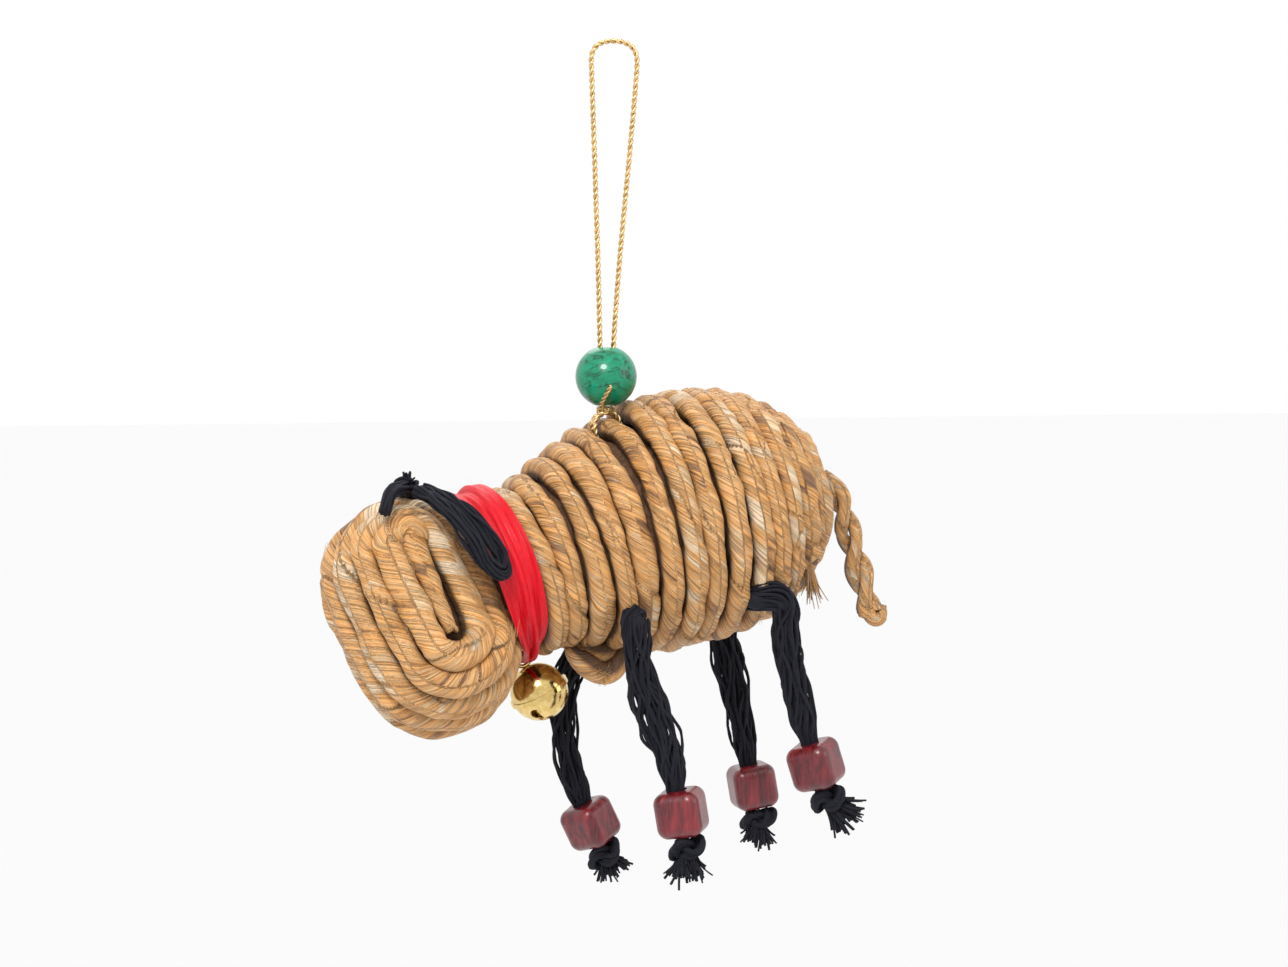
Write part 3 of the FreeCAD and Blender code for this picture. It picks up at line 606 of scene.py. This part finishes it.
def rope(tubes, path, outward, width, height, rng, corners=34, fold_pitch=24 * MM, folds=1):
    """One stretch of rope: folded leaf twisted into a slightly flattened, bulging section.

    width runs along the way that neighbouring turns lie, height stands out from what it is wound on.
    """
    _, normal, side = frames(path, outward)
    angle = np.linspace(0, 2 * math.pi, corners, endpoint=False)[None]
    u = arc_lengths(path)[:, None]
    stray = wander(rng, u, 12 * MM) * 0.8
    # each strip of leaf has a number, and share goes from 0 to 1 across it
    fold = (angle + 2 * math.pi * u / fold_pitch + stray) * folds / (2 * math.pi)
    number = np.floor(fold)
    share = fold - number
    edge = np.clip(share / 0.05, 0, 1) * np.clip((1 - share) / 0.015, 0, 1)
    depth = 0.5 + 0.5 * np.clip(wander(rng, u, 10 * MM), -1, 1)
    lobes = 0.97 + (0.16 * (share - 0.5) + 0.03 * np.sin(math.pi * share)) * (0.4 + 0.8 * depth)
    pleat = np.sin(angle * 9 + 2 * math.pi * u / (5.2 * MM) + 2.2 * wander(rng, u, 8 * MM))
    loose = 1 + 0.06 * wander(rng, u, 9 * MM) + 0.05 * np.cos(2 * angle + wander(rng, u, 12 * MM) * 3)
    loose = loose + 0.02 * np.cos(4 * angle + 2 * math.pi * u / (9 * MM) + stray * 4)
    loose = loose + 0.007 * pleat
    power = 2.5
    square = (np.abs(np.cos(angle)) ** power + np.abs(np.sin(angle)) ** power) ** (-1 / power)
    radius = lobes * loose * square
    width = np.broadcast_to(width, len(path))[:, None, None]
    height = np.broadcast_to(height, len(path))[:, None, None]
    rings = (
        path[:, None]
        + radius[..., None] * np.cos(angle)[..., None] * normal[:, None] * height
        + radius[..., None] * np.sin(angle)[..., None] * side[:, None] * width
    )
    fine_twist = angle + 2 * math.pi * u / (11 * MM)
    grain = np.stack([2.1 * np.cos(fine_twist), 2.1 * np.sin(fine_twist), u / MM + 0 * angle], axis=-1)
    # every strip of leaf takes its own tone and its own place in the colour noise
    strip = np.sin(number * 12.9898 + 4.1) * 43758.5453
    tone = strip - np.floor(strip)
    grain = grain + np.stack([tone * 9, tone * 5, number * 3.7], axis=-1)
    # painted shade in the crease where one strip of leaf meets the next, darker where the step between them
    # is deeper
    painted_shade = (1 - edge) * (0.2 + 0.8 * depth)
    # painted shade as well: darker on the sides that face the neighbouring turns and on the inside
    painted_shade = np.maximum(painted_shade, np.clip((0.42 - np.cos(angle)) / 0.5, 0, 1) + 0 * u)
    tubes.add(rings, grain, tone, painted_shade)


def fibres(tubes, rng, root, way, count, length, spread, radius=0.07 * MM, curl=0.5):
    """Loose ends of leaf fibre that leave one place."""
    way = unit(way)
    for _ in range(count):
        reach = length * rng.uniform(0.5, 1.1)
        aim = unit(way + rng.normal(0, spread, 3))
        bow = rng.normal(0, curl, 3) * reach * 0.35
        share = np.linspace(0, 1, 7)[:, None]
        start = root + rng.normal(0, 0.35 * MM, 3)
        path = start + aim * reach * share + bow * share**2
        tubes.round(path, radius * (1.1 - 0.7 * share[:, 0]), 5, tone=rng.uniform())


def flakes(tubes, path, outward, count, rng):
    """Small tufts of torn leaf that lift off a rope here and there."""
    for _ in range(count):
        i = int(rng.uniform(0.06, 0.94) * len(path))
        out = unit(outward[i])
        way = unit(path[i + 3] - path[i]) * rng.choice([-1.0, 1.0])
        root = path[i] + out * 2.0 * MM
        fibres(tubes, rng, root, way + out * 0.15, 14, 2.6 * MM, 0.16, 0.045 * MM, 0.3)


# ---------------------------------------------------------------- body


def spine(s):
    """The body's axis at places along it: points, the way along, the way out of the back."""
    s = np.asarray(s, float)
    slope = BODY_RISE + np.maximum(0.0, -s) / SPINE_BEND
    along = np.stack([np.cos(slope), 0 * s, np.sin(slope)], axis=-1)
    out = np.stack([-np.sin(slope), 0 * s, np.cos(slope)], axis=-1)
    bent = np.stack(
        [math.sin(BODY_RISE) - np.sin(slope), 0 * s, np.cos(slope) - math.cos(BODY_RISE)], axis=-1
    )
    return BODY_CENTRE + bent * SPINE_BEND + along * np.maximum(s, 0.0)[..., None], along, out


def winding_radius(s):
    """Radius of the rope's centreline at places along the axis, as in the CAD winding."""
    d = s - WIDEST_AT
    narrowing = BARREL_RADIUS - NECK_TURN_RADIUS
    fore = NECK_TURN_RADIUS + narrowing * (1 + np.cos(math.pi * np.minimum(d, 0) / NECK_RUN)) / 2
    rear = np.maximum(0.0, 1 - (np.maximum(d, 0) / BARREL_REAR) ** RUMP_FULLNESS)
    return np.where(d < 0, fore, BARREL_RADIUS * np.sqrt(rear))


def make_body(rng):
    """The body's rope, wound as one spiral from the neck to the rump and built in two pieces.

    Turns are counted from the one that the cord's hitch holds: it is thinner and lies lower at its top.
    """
    pole = WIDEST_AT + BARREL_REAR
    s = NECK_AT - 3 * MM + (pole - NECK_AT + 3 * MM) * np.linspace(0, 1, 4000)
    r = winding_radius(s)
    profile = np.concatenate([[0.0], np.cumsum(np.hypot(np.diff(s), np.diff(r)))])
    line, _, back = spine(s)
    tops = line + back * (r - HITCH_SINK)[:, None]
    hitch = np.interp(0.0, tops[:, 0], profile)
    first = -(hitch - HITCH_GAP - 1.0 * MM) / ROPE_PITCH + 0.15
    last = (profile[-1] - hitch - HITCH_GAP) / ROPE_PITCH - 0.30
    step = 0.0035
    turns = [np.arange(first, FRONT_TURNS, step), np.arange(FRONT_TURNS, last, step)]
    names = ["body_rope_front", "body_rope_rear"]
    pieces = []
    for name, p in zip(names, turns):
        theta = 2 * math.pi * p
        from_top = np.abs((p + 0.5) % 1.0 - 0.5) * 2 * math.pi
        at_top = np.exp(-((from_top / 0.45) ** 2))
        held = np.exp(-((p / 0.30) ** 2)) * at_top
        steady = np.clip(p / 3, -1, 1)
        place = hitch + ROPE_PITCH * p + HITCH_GAP * (
            at_top * np.clip(p * 1.6, -1, 1) + (1 - at_top) * steady
        )
        waver = np.sin(p * 1.9 + 0.7) * 0.30 + np.sin(p * 5.3 + 2.0) * 0.22 + np.sin(p * 11.7) * 0.14
        place = place + waver * MM * (1 - at_top * (np.abs(p) < 1.6))
        at = np.interp(np.clip(place, 0, profile[-1]), profile, s)
        radius = winding_radius(at) - HITCH_SINK * held
        radius = radius + 0.35 * MM * (np.sin(p * 2.3 + 1.0) + np.sin(p * 7.1)) * (1 - at_top) * 0.6
        radius = radius - 0.3 * MM
        middle, _, out = spine(at)
        outward = out * np.cos(theta)[:, None] + ACROSS * np.sin(theta)[:, None]
        path = middle + outward * radius[:, None]
        swell = 1 + 0.11 * np.sin(p * 3.1 + 0.4) + 0.08 * np.sin(p * 8.7) + 0.05 * np.sin(p * 14.3)
        ends = np.clip((p - first) / 0.12, 0.25, 1) * np.clip((last - p) / 0.25, 0.3, 1)
        half_width = ROPE_HALF_WIDTH * swell * (1 - 0.22 * held) * ends
        half_height = ROPE_HALF_HEIGHT * (1 - 0.20 * held) * ends
        tubes = Tubes()
        rope(tubes, path, outward, half_width, half_height, rng)
        flakes(tubes, path, outward, 12, rng)
        pieces.append(tubes.build(name, LEAF))
    for piece in pieces:
        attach(piece, "goat")
    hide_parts("body_winding")
    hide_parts("rump_coil")


# ---------------------------------------------------------------- head


def in_head(x, y, z):
    """Points of the head's own frame, leaned back and rolled as it sits on the neck."""
    p = np.stack(np.broadcast_arrays(x, y, z), axis=-1).astype(float)
    p = turned(p, [1, 0, 0], -HEAD_ROLL)
    return turned(p, [0, 1, 0], -HEAD_LEAN)


def make_head(rng):
    """The head's rope: nested long loops, wound as one spiral from cheek to cheek."""
    lean = np.linspace(-math.pi / 2, math.pi / 2, 4000)
    steps = np.hypot(np.diff(HEAD_WIDTH * np.sin(lean)), np.diff(HEAD_DEPTH * np.cos(lean)))
    profile = np.concatenate([[0.0], np.cumsum(steps)])
    p = np.arange(-0.30, HEAD_TURNS + 0.30, 0.0042)
    place = profile[-1] * np.clip((p + 0.15) / (HEAD_TURNS + 0.3), 0, 1)
    waver = 0.42 * np.sin(p * 2.1 + 1.0) + 0.30 * np.sin(p * 5.9) + 0.16 * np.sin(p * 13.1)
    psi = np.interp(np.clip(place + waver * MM, 0, profile[-1]), profile, lean)
    y = HEAD_WIDTH * np.sin(psi)
    radius = HEAD_DEPTH * np.cos(psi) + 0.3 * MM * np.sin(p * 4.7)
    t = 2 * math.pi * p + 0.6
    run = np.clip(2.3 * np.sin(t), -1, 1)
    run = run * (1.5 - 0.5 * run**2) * (1 + 0.25 * np.sin(psi) ** 2)
    x, z = radius * np.cos(t), radius * np.sin(t) + HEAD_HALF_RUN * run
    path = HEAD_CENTRE + in_head(x, y, z)
    outward = in_head(
        np.cos(psi) * np.cos(t) / HEAD_DEPTH,
        np.sin(psi) / HEAD_WIDTH,
        np.cos(psi) * np.sin(t) / HEAD_DEPTH,
    )
    swell = 1 + 0.10 * np.sin(p * 3.7 + 0.4) + 0.08 * np.sin(p * 8.1)
    ends = np.clip((p - p[0]) / 0.3, 0.5, 1) * np.clip((p[-1] - p) / 0.3, 0.5, 1)
    tubes = Tubes()
    half_width = HEAD_ROPE_HALF_WIDTH * swell * ends
    rope(tubes, path, outward, half_width, HEAD_ROPE_HALF_HEIGHT * ends, rng)
    flakes(tubes, path, outward, 10, rng)
    head = tubes.build("head_rope", LEAF)
    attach(head, "goat")
    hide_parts("head_winding", "head_coil_left", "head_coil_right")


# ---------------------------------------------------------------- rope ends and tail


def make_rope_ends(rng):
    """The curled rope ends under the chest and the frayed end at the rump."""
    tubes = Tubes()
    for route, thick in BELLY_ROPES:
        path = smooth_line(route, 0.25 * MM)
        share = arc_lengths(path) / arc_lengths(path)[-1]
        taper = np.sin(np.clip(share, 0.02, 0.985) * math.pi) ** 0.35
        rope(tubes, path, mm(0, 0, -1), thick * taper, 2.0 * MM * taper, rng, corners=26)
    fibres(tubes, rng, BELLY_FRAY, (-0.3, -0.2, -1), 130, 2.0 * MM, 0.9)
    belly = tubes.build("belly_rope_end_leaf", PALE_LEAF)
    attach(belly, "goat")
    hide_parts("belly_rope_end")

    tubes = Tubes()
    fibres(tubes, rng, RUMP_FRAY, (0.10, -0.07, -1), 46, 6.2 * MM, 0.12, 0.16 * MM, 0.35)
    rump = tubes.build("rump_rope_fray", PALE_LEAF)
    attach(rump, "goat")
    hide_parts("rump_rope_end")


def make_tail(rng):
    """Two strands of leaf twisted round each other, folded over at the tip."""
    middle = smooth_line([TAIL_START, *TAIL_ROUTE], 0.2 * MM)
    along = arc_lengths(middle)
    total = along[-1]
    _, normal, side = frames(middle, [0, -1.0, 0])
    tubes = Tubes()
    for strand in (0, math.pi):
        turn = strand + 2 * math.pi * along / (15 * MM) + 0.5
        apart = 1.15 * MM * (0.75 + 0.35 * np.sin(math.pi * along / total))
        path = middle + apart[:, None] * (
            normal * np.cos(turn)[:, None] * 0.8 + side * np.sin(turn)[:, None]
        )
        thick = 1.12 * MM * (0.95 + 0.2 * along / total)
        rope(tubes, path, normal, thick, thick, rng, corners=20, fold_pitch=10 * MM, folds=2)
    tip = middle[-1]
    fold = smooth_line(
        [
            tip + mm(-1.2, 0.0, 2.6),
            tip + mm(-0.6, -0.4, -0.9),
            tip + mm(1.8, -0.3, -1.5),
            tip + mm(2.4, 0.3, 1.2),
        ],
        0.2 * MM,
    )
    share = arc_lengths(fold) / arc_lengths(fold)[-1]
    thick = 1.25 * MM * np.sin(np.clip(share, 0.06, 0.94) * math.pi) ** 0.3
    rope(tubes, fold, [0, -1.0, 0], thick, thick, rng, corners=20, fold_pitch=8 * MM)
    fibres(tubes, rng, tip, (0.3, 0, -1), 14, 2.2 * MM, 0.4)
    tail = tubes.build("tail_strands", PALE_LEAF)
    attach(tail, "tail_body")
    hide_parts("tail")


# ---------------------------------------------------------------- yarn


def skein(
    tubes, path, count, reach, thread, rng, outward=None, flat=1.0, twist=20.0, loose=0.25, parted=None
):
    """Many threads side by side along a line. reach is the bundle's radius, a number or one a point.

    parted is (from, to, gap) in metres along the line: there the threads part in two.
    """
    _, normal, side = frames(path, outward)
    along = arc_lengths(path)
    reach = np.broadcast_to(reach, len(path))
    for k in range(count):
        spot = math.sqrt((k + 0.5) / count)
        start = k * GOLDEN_ANGLE
        turn = start + twist * along + 0.5 * wander(rng, along, 18 * MM) * loose * 2
        off = (reach - thread) * np.clip(spot + loose * 0.35 * wander(rng, along, 9 * MM), 0, 1.12)
        across, out = off * np.sin(turn), off * np.cos(turn) * flat
        if parted:
            begins, ends, gap = parted
            open_by = np.exp(-(((along - (begins + ends) / 2) / ((ends - begins) / 2)) ** 4))
            across = across + open_by * gap * (1 if math.sin(start) > 0 else -1)
        line = path + normal * out[:, None] + side * across[:, None]
        size = thread * (1 + 0.12 * wander(rng, along, 3 * MM))
        tubes.round(line, size, 7, twist=2 * math.pi / YARN_LAY, tone=rng.uniform())


def yarn_knot(tubes, centre, axis, size, rng, strands=5):
    """A tight overhand knot: a trefoil of several threads about an axis."""
    t = np.linspace(0, 2 * math.pi, 90)
    first = unit(np.cross(axis, [0.31, 0.77, 0.2]))
    second = np.cross(unit(axis), first)
    for _ in range(strands):
        lift = rng.normal(0, 0.10)
        ring = 1 + 0.10 * rng.normal()
        x, y = trefoil(t)
        x, y = x * ring, y * ring
        z = -np.sin(3 * t) * 0.42 + lift
        path = centre + size * (x[:, None] * first + y[:, None] * second + z[:, None] * unit(axis))
        path = path + rng.normal(0, 0.16, 3) * size
        tubes.round(path, size * 0.19, 8, twist=2 * math.pi / YARN_LAY, tone=rng.uniform())
    core = centre + unit(axis) * np.linspace(-0.5, 0.5, 12)[:, None] * size
    body = 0.55 * size * np.sin(np.linspace(0.25, math.pi - 0.25, 12)) ** 0.5
    tubes.round(core, body, 14, tone=0.5)


def tuft(tubes, root, way, count, length, flare, rng, waist=0.9 * MM):
    """Cut yarn below a knot, its threads frayed and flaring."""
    way = unit(way)
    first = unit(np.cross(way, [0.2, 0.9, 0.1]))
    second = np.cross(way, first)
    for _ in range(count):
        around, spot = rng.uniform(0, 2 * math.pi), math.sqrt(rng.uniform())
        out = first * math.cos(around) + second * math.sin(around)
        share = np.linspace(0, 1, 9)[:, None]
        reach = length * rng.uniform(0.72, 1.08)
        bow = rng.normal(0, 0.16, 3) * reach
        path = root + out * spot * (waist + flare * share**1.2) + way * reach * share
        path = path + bow * share**2
        tubes.round(path, rng.uniform(0.13, 0.24) * MM, 6, tone=rng.uniform())


def make_leg(name, seed, parted=None):
    """A leg's skein, from inside the body over the hip and down through its bead to the knot."""
    rng = np.random.default_rng(seed)
    bead = BEADS[name]
    hip, *bends = LEGS[name]
    along = unit(bead - bends[-1])
    end = bead + along * (CUBE_HALF + 0.12 * MM)
    line = smooth_line([*INSIDE[name], hip, *bends, end], 0.7 * MM)
    places = arc_lengths(line)
    from_end = places[-1] - places
    into_bead = np.clip((from_end - 7.0 * MM) / (5 * MM), 0, 1)
    reach = (1.52 + (0.75 + 0.45 * np.clip(from_end / (26 * MM), 0, 1)) * into_bead) * MM
    inside = np.clip(places / (6 * MM), 0, 1)
    reach = reach * (0.75 + 0.25 * inside)
    tubes = Tubes()
    skein(tubes, line, LEG_THREADS, reach, 0.27 * MM, rng, [0, -1.0, 0], 0.7, 60, 0.42, parted)
    leg = tubes.build(f"{name}_leg_skein", YARN)
    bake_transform(leg)
    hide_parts(f"{name}_leg_yarn")

    tubes = Tubes()
    knot_at = end + along * 1.9 * MM
    yarn_knot(tubes, knot_at, along, 2.5 * MM, rng, 7)
    lean = unit(along + TUFT_LEANS[name])
    root = knot_at + along * 0.6 * MM
    tuft(tubes, root, lean, TUFT_THREADS, TUFT_LENGTHS[name], 2.0 * MM, rng, 1.1 * MM)
    foot = tubes.build(f"{name}_foot_yarn", YARN)
    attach(foot, f"{name}_leg")
    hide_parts(f"{name}_foot_tuft")
    return leg, foot, line


def make_ears(rng):
    """Each ear is a skein folded back on itself, with a slit near its closed end."""
    for side, way in (("left", 1.0), ("right", -1.0)):
        mirror = np.array([1.0, way, 1.0])
        middle = smooth_line([p * mirror for p in EAR_ROUTE], 0.4 * MM)
        along = arc_lengths(middle)
        share = along / along[-1]
        outward = unit(middle - HEAD_CENTRE)
        _, _, lateral = frames(middle, outward)
        apart = (0.7 + 1.15 * np.clip((share - 0.15) / 0.45, 0, 1)) * MM
        apart = apart * np.sqrt(np.clip((1 - share) / 0.10, 0.0, 1))
        go = middle + lateral * apart[:, None]
        back = middle - lateral * apart[:, None]
        loop = resampled(np.concatenate([go, back[::-1][1:]]), 0.4 * MM)
        tubes = Tubes()
        place = arc_lengths(loop) / arc_lengths(loop)[-1]
        reach = (1.25 + 0.35 * np.sin(math.pi * place)) * MM
        skein(tubes, loop, 24, reach, 0.25 * MM, rng, outward=unit(loop - HEAD_CENTRE), twist=40, loose=0.4)
        ear = tubes.build(f"{side}_ear_skein", YARN)
        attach(ear, f"ear_{side}")
        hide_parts(f"{side}_ear")


def make_crown(rng):
    """The knot that ties the ears on, with its short cut ends and one that lies down the forehead."""
    tubes = Tubes()
    yarn_knot(tubes, CROWN, (0.2, 0.3, 1), 1.7 * MM, rng)
    tuft(tubes, CROWN + mm(0, -0.4, 0.3), (-0.2, -0.9, 0.5), 26, 1.9 * MM, 0.8 * MM, rng, 0.6 * MM)
    knot = tubes.build("crown_knot_yarn", YARN)
    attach(knot, "goat")
    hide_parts("crown_knot")
    tubes = Tubes()
    line = smooth_line([CROWN, *CROWN_END_ROUTE], 0.4 * MM)
    share = arc_lengths(line) / arc_lengths(line)[-1]
    reach = (1.45 - 0.3 * share) * MM
    skein(tubes, line, 18, reach, 0.27 * MM, rng, outward=unit(line - HEAD_CENTRE), twist=50)
    end = tubes.build("crown_end_skein", YARN)
    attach(end, "goat")
    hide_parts("crown_yarn_end")


# ---------------------------------------------------------------- gold cord


def twisted(tubes, line, radius, plies=2, pitch=2.3 * MM, normal=None):
    """Plies laid round each other along a line."""
    _, out, side = frames(line, normal)
    along = arc_lengths(line)
    for k in range(plies):
        turn = 2 * math.pi * (along / pitch + k / plies)
        path = line + radius * 0.52 * (out * np.cos(turn)[:, None] + side * np.sin(turn)[:, None])
        tubes.round(path, radius * 0.56, 8, twist=2 * math.pi / (1.1 * MM), tone=k / plies)


def make_gold_cord():
    """The loop that it hangs by, from the knot through the bead, over the top and back."""
    line = smooth_line(LOOP_ROUTE, 0.16 * MM)
    tubes = Tubes()
    twisted(tubes, line, 0.44 * MM, normal=[0, -1.0, 0])
    cord = tubes.build("gold_loop_strands", GOLD)
    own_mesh(cord)
    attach(cord, "hanging_cord_body")
    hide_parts("hanging_cord")


def make_hitch():
    """The doubled cord round one turn of rope, the knot above it and its two cut ends."""
    low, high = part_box("cord_hitch")
    centre = np.array([0.0, 0.0, low[2] + 3.0 * MM])
    tubes = Tubes()
    t = np.linspace(0, 2 * math.pi * 2.0, 260)
    lean = 0.48 * MM * np.cos(t / 2)
    ring = 2.52 * MM * (1 + 0.03 * np.sin(3 * t))
    wrap = centre + np.stack([ring * np.sin(t), lean, ring * np.cos(t)], axis=1)
    twisted(tubes, wrap, 0.46 * MM)
    knot_centre = np.array([0.0, 0.0, high[2] - 0.75 * MM])
    t = np.linspace(0, 2 * math.pi, 160)
    for grow, turn in ((1.0, 0.0), (0.9, 1.1)):
        x, y = trefoil(t + turn)
        knot = knot_centre + np.stack([x * 1.45, y * 1.3, -np.sin(3 * t) * 0.40], axis=1) * grow * MM
        twisted(tubes, knot, 0.36 * MM)
    for end in GOLD_ENDS:
        twisted(tubes, smooth_line([knot_centre, *end], 0.12 * MM), 0.40 * MM)
    hitch = tubes.build("gold_hitch_strands", GOLD)
    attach(hitch, "hitch")
    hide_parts("cord_hitch")


# ---------------------------------------------------------------- ribbon


def make_ribbon():
    """Satin ribbon round the neck, gathered into a few pleats and pinched through the bell's eye."""
    along = np.array([math.cos(RIBBON_LEAN), 0, math.sin(RIBBON_LEAN)])
    down = np.array([math.sin(RIBBON_LEAN), 0, -math.cos(RIBBON_LEAN)])
    stations, threads = 260, 44
    theta = np.linspace(0, 2 * math.pi, stations)[:, None]
    v = np.linspace(-0.5, 0.5, threads)[None]
    from_bottom = np.minimum(theta, 2 * math.pi - theta)
    pinch = 1 - np.exp(-((from_bottom / 0.85) ** 2))
    spread = (1.1 + 6.2 * pinch) * MM
    pleat = (0.50 + 0.35 * (1 - pinch)) * MM
    waves = np.sin(2 * math.pi * (v * 1.7 + 0.35 * np.sin(theta * 1.7)) + 0.9 * np.sin(theta * 2.3 + v * 4))
    waves = waves + 0.40 * np.sin(2 * math.pi * v * 4.3 + theta * 3.1 + 1.2 * np.sin(theta * 5 + v * 3))
    waves = waves + 0.14 * np.sin(2 * math.pi * v * 11 + theta * 2.0)
    radius = RIBBON_RADIUS + pleat * waves * (0.55 + 0.45 * np.cos(math.pi * v) ** 2)
    drift = 0.5 * MM * np.sin(theta * 2 + 0.5) * pinch
    out = down * np.cos(theta)[..., None] + ACROSS * np.sin(theta)[..., None]
    points = RIBBON_CENTRE + out * radius[..., None] + along * (spread * v + drift)[..., None]
    grain = np.stack([v * 10.0 + 0 * theta, theta * RIBBON_RADIUS / MM + 0 * v, waves], axis=-1)
    i, j = np.meshgrid(np.arange(stations - 1), np.arange(threads - 1), indexing="ij")
    near = i * threads + j
    quads = np.stack([near, near + 1, near + threads + 1, near + threads], axis=-1).reshape(-1, 4)
    mesh = bpy.data.meshes.new("neck_ribbon_satin")
    mesh.from_pydata(points.reshape(-1, 3).tolist(), [], quads.tolist())
    data = mesh.attributes.new("grain", "FLOAT_VECTOR", "POINT")
    data.data.foreach_set("vector", grain.astype(np.float32).ravel())
    mesh.polygons.foreach_set("use_smooth", np.ones(len(mesh.polygons), bool))
    mesh.materials.append(SATIN)
    ribbon = bpy.data.objects.new("neck_ribbon_satin", mesh)
    bpy.context.collection.objects.link(ribbon)
    thick = ribbon.modifiers.new("cloth", "SOLIDIFY")
    thick.thickness = 0.12 * MM
    thick.offset = 0
    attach(ribbon, "goat")
    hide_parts("neck_ribbon")


# ---------------------------------------------------------------- CAD pieces that stay


def paint_cad(material, *names):
    """Gives CAD nodes a better material; their shape and place stay."""
    for name in names:
        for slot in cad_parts[name].material_slots:
            slot.material = material


# ---------------------------------------------------------------- studio


def area_light(name, place, aim, size, power):
    """A soft round light at a place, turned to what it aims at."""
    data = bpy.data.lights.new(name, "AREA")
    data.shape = "DISK"
    data.size = size
    data.energy = power
    light = bpy.data.objects.new(name, data)
    light.location = place
    away = unit(np.array(place) - np.array(aim))
    light.rotation_euler = (math.acos(away[2]), 0, math.atan2(away[1], away[0]) + math.pi / 2)
    bpy.context.collection.objects.link(light)


def make_studio():
    """A pale floor well below the hanging ornament, white surroundings and soft light."""
    bpy.ops.mesh.primitive_plane_add(size=60, location=(0, 0, -0.9))
    floor = bpy.context.object
    floor.name = "floor"
    paint = Shader("pale_floor")
    paint.base(Base_Color=(0.96, 0.96, 0.96, 1), Roughness=1.0)
    floor.data.materials.append(paint.material)
    world = bpy.data.worlds.new("studio")
    world.use_nodes = True
    world.node_tree.nodes["Background"].inputs["Color"].default_value = (1, 1, 1, 1)
    world.node_tree.nodes["Background"].inputs["Strength"].default_value = 1.0
    bpy.context.scene.world = world
    bpy.context.scene.view_settings.view_transform = "Standard"
    middle = (0.01, 0, -0.09)
    area_light("key", (-0.35, -0.55, 0.45), middle, 0.30, 5.5)
    area_light("fill", (0.60, -0.45, 0.15), middle, 0.5, 0.8)
    area_light("back", (0.10, 0.55, 0.45), middle, 0.5, 1.2)


# ---------------------------------------------------------------- making

add_camera()
make_gold_cord()
for leg_name, seed in LEG_SEEDS.items():
    leg_piece, foot_piece, leg_path = make_leg(leg_name, seed, PARTED.get(leg_name))
make_hitch()
make_body(np.random.default_rng(1))
make_head(np.random.default_rng(2))
make_rope_ends(np.random.default_rng(4))
make_tail(np.random.default_rng(5))
make_ears(np.random.default_rng(6))
make_crown(np.random.default_rng(7))
make_ribbon()

paint_cad(green_bead_material(), "hanger_bead")
paint_cad(cube_material(), *(f"{leg}_cube_bead" for leg in LEGS))
paint_cad(brass_material(), "bell_top_shell", "bell_claw_shell", "bell_shank", "bell_pea")
paint_cad(YARN, "front_cross_yarn", "rear_cross_yarn")
paint_cad(core_material(), "body_core", "neck_core", "head_core")

make_studio()
